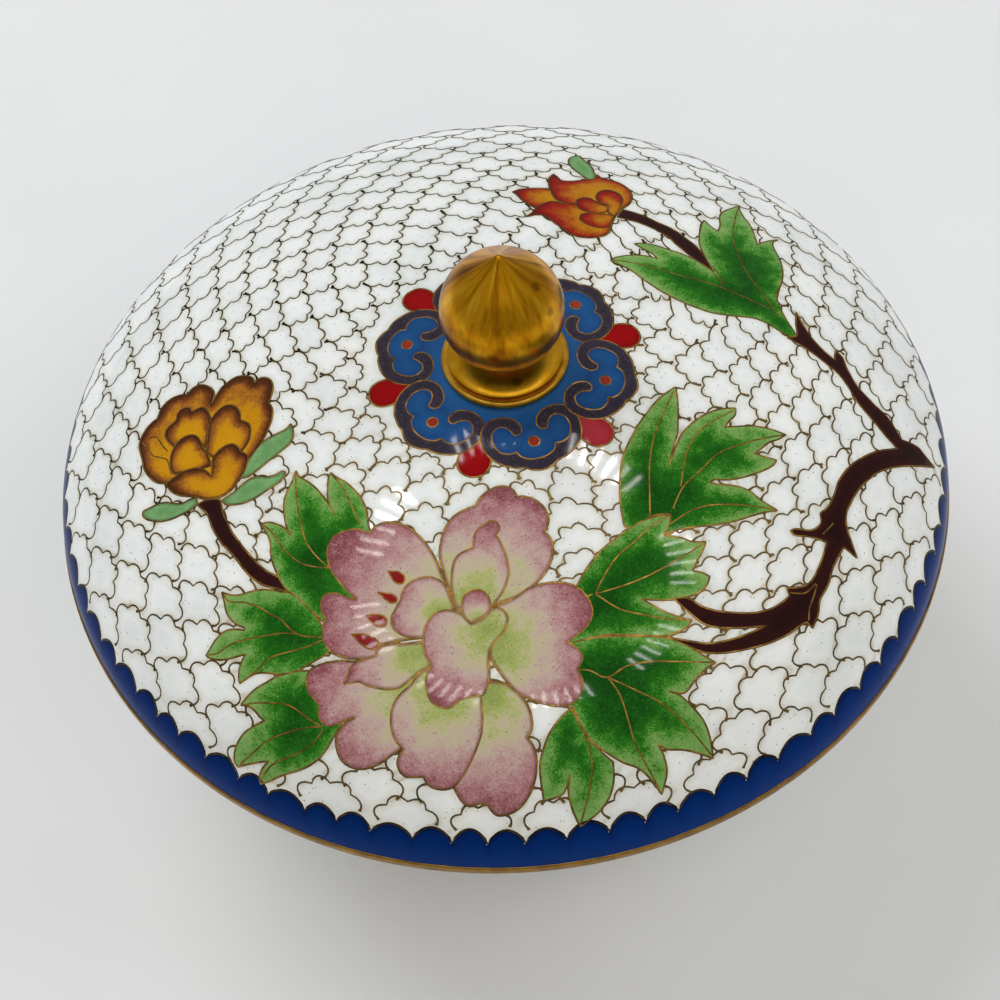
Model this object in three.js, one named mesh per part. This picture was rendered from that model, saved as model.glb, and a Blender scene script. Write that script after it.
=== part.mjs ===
// Round cloisonné bowl with a domed lid. Units are millimetres, +Z is up,
// and the origin is the centre of the foot ring's underside.
import * as THREE from 'three';

// Driving sizes
const lidRadius = 80;
const lidRimWidth = 2.6;
const lidRimHeight = 1.8;
const lidRimProud = 0.3;
const edgeRound = 0.4;
const domeHeight = 33.1;
const domeRoundness = 1.516;
const domeFullness = 0.388;
const shellWall = 1.8;
const lidFitClearance = 0.6;
const restGap = 0.3;
const lidOverhang = 1.4;
const bowlRimProud = 0.4;
const bowlRimHeight = 2.4;
const collarHeight = 4.2;
const collarWall = 1.4;
const bowlHeight = 40.3;
const footRadius = 41.5;
const footWall = 3.3;
const footHeight = 9;
const footLip = 1.3;
const floorInset = 0.5;
const plateRadius = 10.8;
const plateWidth = 7.2;
const plateEdge = 1.0;
const skirtInset = 1.2;
const skirtHeight = 1.65;
const neckRadius = 4.8;
const neckLift = 2.07;
const ballRadius = 10.35;
const pointLift = 13;
// The knob was fixed slightly off the middle of the dome
const knobShiftX = 1.7;
const knobShiftY = -1.3;
const roundSegments = 60;
const plateSegments = 40;
const knobSegments = 32;

// Heights and radii that follow from them, from the foot up
const bowlFloorHeight = footHeight + restGap;
const bowlTop = bowlFloorHeight + bowlHeight;
const mouthBottom = bowlTop + restGap;
const mouthTop = mouthBottom + bowlRimHeight;
const lidEdgeHeight = mouthTop + restGap;
const domeRadius = lidRadius - lidRimProud;
const lidRimInnerRadius = lidRadius - lidRimWidth;
const bowlRimRadius = lidRadius - lidOverhang;
const bowlMouthRadius = bowlRimRadius - bowlRimProud;
const bowlFloorRadius = footRadius - floorInset;

// Finishes
const enamel = new THREE.MeshStandardMaterial({ color: 0xe9efee, roughness: 0.18, metalness: 0 });
const blueEnamel = new THREE.MeshStandardMaterial({ color: 0xe4ecec, roughness: 0.18, metalness: 0 });
const brass = new THREE.MeshStandardMaterial({ color: 0xa77a22, roughness: 0.32, metalness: 1 });
const agedBrass = new THREE.MeshStandardMaterial({ color: 0x8c6a2c, roughness: 0.42, metalness: 1 });

const model = new THREE.Group();

// Twice the area inside a profile, positive when it runs anticlockwise
function signedArea(points) {
  return points.reduce((sum, [radius, height], index) => {
    const [nextRadius, nextHeight] = points[(index + 1) % points.length];
    return sum + radius * nextHeight - nextRadius * height;
  }, 0);
}

// A closed ring or solid turned about +Z from points of [radius, height]
function turned(name, points, segments, material) {
  const ordered = signedArea(points) > 0 ? points : [...points].reverse();
  const outline = ordered.map(([radius, height]) => new THREE.Vector2(radius, height));
  const geometry = new THREE.LatheGeometry(outline, segments);
  geometry.rotateX(Math.PI / 2);
  const mesh = new THREE.Mesh(geometry, material);
  mesh.name = name;
  model.add(mesh);
  return mesh;
}

// Height of a dome of the given size above the lid's edge, at one radius
function domeAt(radius, baseRadius, height) {
  const part = Math.min(radius / baseRadius, 1);
  return height * Math.pow(1 - Math.pow(part, domeRoundness), domeFullness);
}

// Radii from the middle out, closer together where the dome turns down
function domePoints(baseRadius, height, bottom, fractions) {
  const points = fractions.map((part) => {
    const radius = part * baseRadius;
    return [radius, lidEdgeHeight + domeAt(radius, baseRadius, height)];
  });
  points.push([baseRadius, lidEdgeHeight + bottom]);
  return points;
}

// Lid: an open shell of enamelled copper
const shellFractions = [0, 0.16, 0.32, 0.48, 0.62, 0.74, 0.84, 0.91, 0.955, 0.982, 0.995];
const shellBottom = lidRimHeight + restGap;
const lidOuter = domePoints(domeRadius, domeHeight, shellBottom, shellFractions);
const lidInner = domePoints(domeRadius - shellWall, domeHeight - shellWall, shellBottom, shellFractions);
turned('lid', [...lidOuter, ...lidInner.reverse()], roundSegments, enamel);

// Brass edge under the lid, standing just proud of the enamel
turned('lid_rim', [
  [lidRimInnerRadius, lidEdgeHeight],
  [lidRadius - edgeRound, lidEdgeHeight],
  [lidRadius, lidEdgeHeight + edgeRound],
  [lidRadius, lidEdgeHeight + lidRimHeight - edgeRound],
  [lidRadius - edgeRound, lidEdgeHeight + lidRimHeight],
  [lidRimInnerRadius, lidEdgeHeight + lidRimHeight],
  [lidRimInnerRadius, lidEdgeHeight],
], roundSegments, agedBrass);

// Brass mouth ring of the bowl, with the collar that centres the lid
const collarOuter = lidRimInnerRadius - lidFitClearance;
const collarInner = collarOuter - collarWall;
turned('bowl_rim', [
  [collarInner, mouthBottom],
  [bowlRimRadius - edgeRound, mouthBottom],
  [bowlRimRadius, mouthBottom + edgeRound],
  [bowlRimRadius, mouthTop - edgeRound],
  [bowlRimRadius - edgeRound, mouthTop],
  [collarOuter, mouthTop],
  [collarOuter, mouthTop + collarHeight],
  [collarInner, mouthTop + collarHeight],
  [collarInner, mouthBottom],
], roundSegments, agedBrass);

// Bowl: an open shell whose side swells out from the floor to the mouth.
// Each pair is the share of the way out and the share of the way up.
const bowlCurve = [
  [0, 0],
  [0.121, 0.047],
  [0.309, 0.156],
  [0.497, 0.305],
  [0.659, 0.464],
  [0.788, 0.623],
  [0.892, 0.787],
  [0.965, 0.921],
  [1, 1],
];

function bowlSide(floorRadius, mouthRadius, floorHeight) {
  return bowlCurve.map(([out, up]) => [
    floorRadius + (mouthRadius - floorRadius) * out,
    floorHeight + (bowlTop - floorHeight) * up,
  ]);
}

const floorTop = bowlFloorHeight + shellWall;
const bowlOuter = bowlSide(bowlFloorRadius, bowlMouthRadius, bowlFloorHeight);
const bowlInner = bowlSide(bowlFloorRadius - shellWall / 3, bowlMouthRadius - shellWall, floorTop);
turned('bowl', [
  [0, bowlFloorHeight],
  ...bowlOuter,
  ...bowlInner.reverse(),
  [0, floorTop],
], roundSegments, blueEnamel);

// Brass foot ring that the bowl stands on, drawn in above a flared lip
const footInner = footRadius - footWall;
turned('foot_ring', [
  [footInner, 0],
  [footRadius, 0],
  [footRadius, 0.13 * footHeight],
  [footRadius - 0.85 * footLip, 0.36 * footHeight],
  [footRadius - footLip, footHeight],
  [footInner, footHeight],
  [footInner, 0],
], roundSegments, agedBrass);

// Brass plate under the knob, hollowed beneath to follow the dome
const knobShift = Math.hypot(knobShiftX, knobShiftY);
function underPlate(radius) {
  const nearest = Math.max(radius - knobShift, 0);
  return lidEdgeHeight + domeAt(nearest, domeRadius, domeHeight) + restGap;
}
const plateHole = plateRadius - plateWidth;
const plateMiddle = plateRadius - plateWidth * 0.46;
const plateTop = underPlate(plateRadius) + plateEdge;
const plate = turned('finial_plate', [
  [plateHole, underPlate(plateHole)],
  [plateMiddle, underPlate(plateMiddle)],
  [plateRadius, underPlate(plateRadius)],
  [plateRadius, plateTop - 0.3 * plateEdge],
  [plateRadius - 0.3 * plateEdge, plateTop],
  [plateHole, plateTop],
  [plateHole, underPlate(plateHole)],
], plateSegments, agedBrass);

// Turned knob: a flared skirt, a narrow neck and a ball drawn up to a point.
// Each skirt pair is the share of the way in to the neck and of the way up.
const skirtBottom = plateTop + restGap;
const skirtRadius = plateRadius - skirtInset;
const skirtCurve = [
  [0, 0],
  [-0.02, 0.21],
  [0.1, 0.42],
  [0.31, 0.6],
  [0.6, 0.79],
  [0.88, 1],
];
const knobOutline = skirtCurve.map(([inward, up]) => [
  skirtRadius - (skirtRadius - neckRadius) * inward,
  skirtBottom + skirtHeight * up,
]);
knobOutline.unshift([0, skirtBottom]);
const neckAngle = -Math.acos(neckRadius / ballRadius);
const ballCentre = skirtBottom + neckLift - ballRadius * Math.sin(neckAngle);
// The cone of the point leaves the ball where it is tangent to it
const tangentAngle = Math.asin(ballRadius / pointLift);
const ballSteps = 10;
for (let step = 0; step <= ballSteps; step += 1) {
  const angle = neckAngle + ((tangentAngle - neckAngle) * step) / ballSteps;
  knobOutline.push([
    ballRadius * Math.cos(angle),
    ballCentre + ballRadius * Math.sin(angle),
  ]);
}
const pointRound = ballRadius * 0.04;
knobOutline.push([pointRound, ballCentre + pointLift - pointRound]);
knobOutline.push([0, ballCentre + pointLift - pointRound / 2]);
const knob = turned('finial', knobOutline, knobSegments, brass);

for (const piece of [plate, knob]) {
  piece.position.set(knobShiftX, knobShiftY, 0);
}

export default model;
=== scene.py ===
import bpy
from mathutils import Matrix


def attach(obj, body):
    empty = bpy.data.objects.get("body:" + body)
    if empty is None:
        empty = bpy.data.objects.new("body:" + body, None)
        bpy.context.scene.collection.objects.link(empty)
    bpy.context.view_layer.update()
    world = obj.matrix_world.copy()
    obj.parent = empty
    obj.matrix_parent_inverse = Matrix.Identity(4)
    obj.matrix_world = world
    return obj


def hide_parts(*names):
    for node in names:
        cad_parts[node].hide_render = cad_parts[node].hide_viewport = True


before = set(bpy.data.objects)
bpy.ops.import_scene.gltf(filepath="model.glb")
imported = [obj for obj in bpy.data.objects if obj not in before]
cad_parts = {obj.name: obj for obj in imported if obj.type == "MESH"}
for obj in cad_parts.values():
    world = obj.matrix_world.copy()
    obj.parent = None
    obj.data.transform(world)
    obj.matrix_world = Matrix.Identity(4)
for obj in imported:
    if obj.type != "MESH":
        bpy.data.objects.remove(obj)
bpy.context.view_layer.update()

import bpy
import math
import random
import numpy as np
from mathutils import Matrix, Vector, kdtree
from mathutils.geometry import delaunay_2d_cdt

# Round cloisonne bowl with a domed lid, standing on z = 0 and facing -Y.
# Its sizes are in millimetres and are turned to metres by mm; the table and
# the lights alone are in metres.
mm = 0.001

# Heights that several pieces share, from the foot up
stack = dict(
    footHeight=9,
    bowlBottom=9.3,
    bowlTop=49.6,
    mouthBottom=49.9,
    mouthTop=52.3,
    lidEdge=52.6,
)

print("Camera")
view = dict(
    spot=(-1.01, -210.6, 339.7),
    tilt=54.671,          # degrees below level
    roll=-4.438,
    lens=70.19,
    sensor=36,
    nearest=10,           # nothing nearer than this shows
)


def setCamera(view):
    tilt, roll = math.radians(view["tilt"]), math.radians(view["roll"])
    ahead = Vector((0, math.cos(tilt), -math.sin(tilt)))
    side = Vector((1, 0, 0))
    up = Vector((0, math.sin(tilt), math.cos(tilt)))
    turnedSide = side * math.cos(roll) + up * math.sin(roll)
    turnedUp = up * math.cos(roll) - side * math.sin(roll)
    axes = Matrix((turnedSide, turnedUp, -ahead)).transposed().to_4x4()
    bpy.ops.object.camera_add()
    camera = bpy.context.object
    camera.name = "photoCamera"
    camera.matrix_world = Matrix.Translation(Vector(view["spot"]) * mm) @ axes
    camera.data.lens = view["lens"]
    camera.data.sensor_width = view["sensor"]
    camera.data.clip_start = view["nearest"] * mm
    bpy.context.scene.camera = camera


setCamera(view)

print("Helpers")


def linear(colour):
    # sRGB hex to the linear values that the nodes take
    parts = [int(colour[i:i + 2], 16) / 255 for i in (1, 3, 5)]
    return [p / 12.92 if p <= 0.04045 else ((p + 0.055) / 1.055) ** 2.4 for p in parts] + [1]


def addNode(tree, kind, inputs=None, stops=None, gives=0, **settings):
    # A node with its settings, its values or links by socket, and a ramp's
    # stops. What comes back is the output that the next node takes.
    node = tree.nodes.new("ShaderNode" + kind)
    for key, value in settings.items():
        setattr(node, key, value)
    for key, value in (inputs or {}).items():
        socket = node.inputs[key]
        if isinstance(value, bpy.types.NodeSocket):
            tree.links.new(value, socket)
        else:
            socket.default_value = linear(value) if isinstance(value, str) else value
    if stops:
        ramp = node.color_ramp
        while len(ramp.elements) < len(stops):
            ramp.elements.new(1)
        for element, (place, colour) in zip(ramp.elements, stops):
            element.position = place
            element.color = linear(colour)
    return node.outputs[gives] if len(node.outputs) else None


def newFinish(name):
    finish = bpy.data.materials.new(name)
    finish.use_nodes = True
    finish.node_tree.nodes.clear()
    return finish, finish.node_tree


def closeFinish(finish, sockets):
    # the shader with its sockets, wired to the output
    shader = addNode(finish.node_tree, "BsdfPrincipled", sockets)
    addNode(finish.node_tree, "OutputMaterial", {"Surface": shader})
    return finish


def coat(piece, *finishes):
    piece.data.materials.clear()
    for finish in finishes:
        piece.data.materials.append(finish)


def hangPiece(piece, node=None):
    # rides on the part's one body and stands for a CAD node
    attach(piece, "root")
    if node:
        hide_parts(node)


def deselectAll():
    bpy.ops.object.select_all(action="DESELECT")


turning = dict(
    mergeWithin=0.002,    # points this near become one
    smoothBelow=38,       # degrees; an edge that turns more stays crisp
)


def roundPiece(name, outline, steps, centre=(0, 0)):
    # An outline of (radius, height) drawn point by point as by hand, then
    # spun about the upright axis. A closed outline gives a ring.
    deselectAll()
    cx, cy = centre
    bpy.ops.mesh.primitive_plane_add(size=1, location=(0, 0, 0))
    piece = bpy.context.object
    piece.name = piece.data.name = name
    bpy.ops.object.mode_set(mode="EDIT")
    bpy.ops.mesh.select_all(action="SELECT")
    bpy.ops.mesh.merge(type="CENTER")
    radius, height = outline[0]
    bpy.ops.transform.translate(value=((radius + cx) * mm, cy * mm, height * mm))
    for (r0, z0), (r1, z1) in zip(outline, outline[1:]):
        bpy.ops.mesh.extrude_region_move(TRANSFORM_OT_translate={
            "value": ((r1 - r0) * mm, 0, (z1 - z0) * mm)})
    bpy.ops.mesh.select_all(action="SELECT")
    bpy.ops.mesh.spin(steps=steps, angle=2 * math.pi, center=(cx * mm, cy * mm, 0), axis=(0, 0, 1))
    bpy.ops.mesh.select_all(action="SELECT")
    bpy.ops.mesh.remove_doubles(threshold=turning["mergeWithin"] * mm)
    bpy.ops.mesh.normals_make_consistent(inside=False)
    bpy.ops.object.mode_set(mode="OBJECT")
    bpy.ops.object.shade_smooth_by_angle(angle=math.radians(turning["smoothBelow"]))
    return piece


def softened(points, inset, steps=3, most=0.45):
    # The same closed outline with each corner turned by a small round, which
    # takes no more than a share of a side
    out = []
    for i, (x, y) in enumerate(points):
        ends = []
        for px, py in (points[i - 1], points[(i + 1) % len(points)]):
            far = math.hypot(px - x, py - y)
            part = min(inset, far * most) / far
            ends.append((x + (px - x) * part, y + (py - y) * part))
        for k in range(steps + 1):
            t = k / steps
            out.append(tuple((1 - t) ** 2 * ends[0][c] + 2 * t * (1 - t) * (x, y)[c]
                             + t * t * ends[1][c] for c in (0, 1)))
    return out + out[:1]


def smoothLine(points, closed=True, steps=6):
    # Catmull-Rom through the points; a third number marks a corner
    count, out = len(points), []
    for i in range(count if closed else count - 1):
        a, b = points[i], points[(i + 1) % count]
        before = points[i - 1] if closed or i else a
        after = points[(i + 2) % count] if closed or i < count - 2 else b
        before = a if len(a) > 2 else before
        after = b if len(b) > 2 else after
        for k in range(steps):
            t = k / steps
            out.append(tuple(
                0.5 * (2 * a[c] + (b[c] - before[c]) * t
                       + (2 * before[c] - 5 * a[c] + 4 * b[c] - after[c]) * t * t
                       + (3 * a[c] - before[c] - 3 * b[c] + after[c]) * t ** 3) for c in (0, 1)))
    return out if closed else out + [tuple(points[-1][:2])]


def makeSlope(radii, heights):
    # A turned surface by the length along its outline, with its outward way
    radii, heights = np.array(radii, float), np.array(heights, float)
    run = np.concatenate([[0], np.cumsum(np.hypot(np.diff(radii), np.diff(heights)))])
    return dict(radius=radii, height=heights, run=run,
                out=-np.gradient(heights, run), up=np.gradient(radii, run))


def alongSlope(slope, run, *names):
    return [np.interp(run, slope["run"], slope[name]) for name in names]


def outlinePoints(slope, runs):
    return [(float(r), float(h)) for r, h in zip(*alongSlope(slope, runs, "radius", "height"))]


def runAtHeight(slope, height):
    return np.interp(height, slope["height"][::-1], slope["run"][::-1])


def layOn(slope, angle, run, lift=0):
    # points in metres at an angle and a length along the outline
    out, up, radius, height = alongSlope(slope, run, "out", "up", "radius", "height")
    radius, height = radius + lift * out, height + lift * up
    return np.stack([radius * np.cos(angle), radius * np.sin(angle), height], -1) * mm


def fromPlan(slope, points):
    # plan points in millimetres to an angle and a length along the outline
    points = np.array(points, float)
    far = np.hypot(points[:, 0], points[:, 1])
    return np.arctan2(points[:, 1], points[:, 0]), np.interp(far, slope["radius"], slope["run"])


def addLayer(mesh, key, numbers):
    # one number a point, for the finishes to read
    layer = mesh.attributes.new(key, "FLOAT", "POINT")
    layer.data.foreach_set("value", np.array(numbers, dtype=np.float32))


def meshPiece(name, verts, faces, values=None, smooth=True):
    mesh = bpy.data.meshes.new(name)
    mesh.from_pydata([tuple(v) for v in verts], [], [tuple(f) for f in faces])
    for key, numbers in (values or {}).items():
        addLayer(mesh, key, numbers)
    mesh.update()
    if smooth:
        mesh.polygons.foreach_set("use_smooth", [True] * len(mesh.polygons))
    piece = bpy.data.objects.new(name, mesh)
    bpy.context.collection.objects.link(piece)
    return piece


wires = dict(
    sunk=0.02,            # how deep a wire's sides go into the enamel
    solder=0.5,           # length of an end that solder has widened
    shadeBehind=0.55,      # painted shade on the dark side of the lid
    sootAtEnds=0.2,       # at every end
    endSootInShade=0.7,         # more soot at the ends, with painted shade on the dark side
)


def wireStrips(name, slope, runs, wide, proud, swell=0, shadeAt=None):
    # Flat wires with a raised middle, laid along runs of (angle, length
    # along the outline, closed). Swell widens an open wire's ends, where
    # solder has run; soot darkens them, and painted shade darkens the wires
    # on the lid's dark side, round the angle given last.
    verts, faces, sootAndShade, start = [], [], [], 0
    for angle, run, closed in runs:
        count = len(angle)
        middle = layOn(slope, angle, run)
        way = np.roll(middle, -1, 0) - np.roll(middle, 1, 0)
        if not closed:
            way[0], way[-1] = middle[1] - middle[0], middle[-1] - middle[-2]
        out, up = alongSlope(slope, run, "out", "up")
        off = np.stack([out * np.cos(angle), out * np.sin(angle), up], -1)
        side = np.cross(off, way)
        side /= np.linalg.norm(side, axis=1)[:, None] + 1e-12
        step = np.linalg.norm(np.diff(middle, axis=0), axis=1) / mm
        past = np.concatenate([[0], np.cumsum(step)])
        toEnd = np.minimum(past, past[-1] - past)
        end = np.zeros(count) if closed else np.exp(-toEnd / wires["solder"])
        half = side * (wide / 2 * (1 + swell * end))[:, None] * mm
        low = off * wires["sunk"] * mm
        verts.append(np.stack([middle - half - low, middle + off * proud * mm,
                               middle + half - low], 1).reshape(-1, 3))
        # painted shade: the wires darken towards the given angle, on the lid's dark side; soot
        # darkens the soldered ends
        shadeSide = 0 * angle
        if shadeAt is not None:
            shadeSide = (0.5 + 0.5 * np.cos(angle - math.radians(shadeAt))) ** 2
        black = shadeSide * wires["shadeBehind"] + end * (wires["sootAtEnds"] + wires["endSootInShade"] * shadeSide)
        sootAndShade += list(np.repeat(black, 3))
        for i in range(count if closed else count - 1):
            a, b = start + 3 * i, start + 3 * ((i + 1) % count)
            faces += [(a, b, b + 1, a + 1), (a + 1, b + 1, b + 2, a + 2)]
        start += 3 * count
    return meshPiece(name, np.concatenate(verts), faces,
                     dict(across=[0, 1, 0] * (start // 3), sootAndShade=sootAndShade))


def wireGapOn(piece, slope, runs, furthest=6):
    # how far each point is from the nearest wire, in millimetres
    spots = np.concatenate([layOn(slope, angle, run) for angle, run, _ in runs])
    tree = kdtree.KDTree(len(spots))
    for i, spot in enumerate(spots):
        tree.insert(spot, i)
    tree.balance()
    gaps = [min(tree.find(v.co)[2] / mm, furthest) for v in piece.data.vertices]
    addLayer(piece.data, "wireGap", gaps)


def boxed(outline):
    # an outline with its lowest and highest corner
    edge = np.array(outline, float)
    return edge, edge.min(0), edge.max(0)


def insideOf(points, outline):
    # which plan points lie inside a boxed outline
    edge, low, high = outline
    near = np.nonzero(((points > low) & (points < high)).all(1))[0]
    inside = np.zeros(len(points), bool)
    if len(near):
        px, py = points[near, 0, None], points[near, 1, None]
        ax, ay = edge[:, 0], edge[:, 1]
        bx, by = np.roll(ax, -1), np.roll(ay, -1)
        crosses = ((ay > py) != (by > py)) & (
            px < (bx - ax) * (py - ay) / np.where(by == ay, 1e-9, by - ay) + ax)
        inside[near] = crosses.sum(1) % 2 == 1
    return inside


def underAny(points, outlines):
    hidden = np.zeros(len(points), bool)
    for outline in outlines:
        hidden |= insideOf(points, outline)
    return hidden


def cutAway(line, outlines, closed, halvings=7, shortest=0.25):
    # The parts of a plan line that no outline covers, cut where they meet by
    # halving the step; a part shorter than the shortest is left out
    points = np.array(list(line) + [line[0]] if closed else line, float)
    low, high = points.min(0), points.max(0)
    outlines = [o for o in outlines if (o[1] < high).all() and (o[2] > low).all()]
    hidden = underAny(points, outlines)
    if not hidden.any():
        return [(np.array(line, float), closed)]
    if hidden.all():
        return []
    parts, current = [], []
    for i in range(len(points)):
        if i and hidden[i] != hidden[i - 1]:
            seen, gone = (points[i - 1], points[i]) if hidden[i] else (points[i], points[i - 1])
            for _ in range(halvings):
                half = (seen + gone) / 2
                if underAny(half[None], outlines)[0]:
                    gone = half
                else:
                    seen = half
            current.append((seen + gone) / 2)
            if hidden[i]:
                parts.append(current)
                current = []
        if not hidden[i]:
            current.append(points[i])
    if current:
        if closed and not hidden[0] and parts:
            parts[0] = current[:-1] + parts[0]
        else:
            parts.append(current)
    return [(np.array(p), False) for p in parts
            if len(p) > 1 and np.linalg.norm(np.diff(p, axis=0), axis=1).sum() > shortest]


print("Dome of the lid")
dome = dict(
    radius=79.7,
    height=33.1,
    roundness=1.516,      # how flat the middle is
    fullness=0.388,       # how steeply the edge turns down
    wall=1.8,
    shellBottom=2.1,      # above the lid's edge, over the brass rim
    steps=360,
    points=(3000, 2000),  # that the outside and the inside are measured by
    rows=(96, 30),        # of faces on the outside and the inside
    crown=(0.4, 0.6),     # where the first row begins, from the middle
)


def domeOutline(radius, height, count):
    part = 1 - (1 - np.linspace(0, 1, count)) ** 3
    up = height * (1 - part ** dome["roundness"]) ** dome["fullness"]
    return part * radius, stack["lidEdge"] + up


domeSlope = makeSlope(*domeOutline(dome["radius"], dome["height"], dome["points"][0]))

# Knob and collar sit slightly off the middle of the dome
knobSpot = (1.7, -1.3)

print("Cloud collar round the knob")
collar = dict(
    heads=6,
    turn=12.04,           # degrees of the first red petal
    paleOne=5,            # the petal with the lighter red
    fieldRadius=14.9,     # blue ground under the knob's plate
    eyeAt=17.3,
    eyeRadius=0.95,
    steps=5,
    insidePoints=13,      # of the half head, counted from its end, go round the blue
    # half of one cloud head, from its crown round the curl and back inside
    halfHead=[
        (22.75, 0), (22.35, 1.6), (21.5, 2.95, 1), (21.15, 4.4), (20.0, 6.3), (18.2, 7.8),
        (15.9, 8.4), (13.5, 8.0), (11.9, 6.7), (11.4, 4.9), (11.8, 3.1), (12.9, 1.75),
        (14.3, 1.3), (15.3, 1.8), (15.35, 2.75), (14.4, 3.2), (13.5, 3.9), (13.2, 5.0), (14.1, 6.3),
        (16.0, 6.6), (17.8, 5.9), (18.55, 4.5), (18.5, 3.3, 1), (19.5, 2.85), (20.3, 1.6),
        (20.55, 0),
    ],
    petal=[
        (15.6, 0, 1), (17.4, 1.5), (19.4, 2.45), (21.3, 2.7), (23.0, 1.95), (23.75, 0),
        (23.0, -1.95), (21.3, -2.7), (19.4, -2.45), (17.4, -1.5),
    ],
)


def turnedPlan(points, degrees):
    c, s = math.cos(math.radians(degrees)), math.sin(math.radians(degrees))
    return [(knobSpot[0] + p[0] * c - p[1] * s, knobSpot[1] + p[0] * s + p[1] * c) for p in points]


def collarShapes():
    half, steps, each = collar["halfHead"], collar["steps"], 360 / collar["heads"]
    head = half + [(p[0], -p[1]) + tuple(p[2:]) for p in reversed(half[1:-1])]
    head = smoothLine(head, steps=steps)
    middle, reach = (len(half) - 1) * steps, collar["insidePoints"] * steps
    inner = head[middle - reach:middle + reach + 1]
    petal = smoothLine(collar["petal"], steps=4)
    rounds = [(math.cos(a), math.sin(a)) for a in np.linspace(0, 2 * math.pi, 25)[:-1]]
    field = [(collar["fieldRadius"] * x, collar["fieldRadius"] * y) for x, y in rounds]
    eye = [(collar["eyeAt"] + collar["eyeRadius"] * x, collar["eyeRadius"] * y)
           for x, y in rounds[::2]]
    shapes = [dict(name="collarField", enamel="collarBlue", bare=True,
                   outline=turnedPlan(field, 0))]
    for k in range(collar["heads"]):
        enamel = "collarPale" if k == collar["paleOne"] else "collarRed"
        shapes.append(dict(name=f"petal{k}", enamel=enamel,
                           outline=turnedPlan(petal, collar["turn"] + each * k)))
    for k in range(collar["heads"]):
        turn = collar["turn"] + each / 2 + each * k
        for name, enamel, points, bare in (("headField", "collarBlue", inner, True),
                                           ("band", "collarBand", head, False),
                                           ("eye", "collarEye", eye, False)):
            shapes.append(dict(name=f"{name}{k}", enamel=enamel, bare=bare,
                               outline=turnedPlan(points, turn)))
    return shapes


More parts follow.
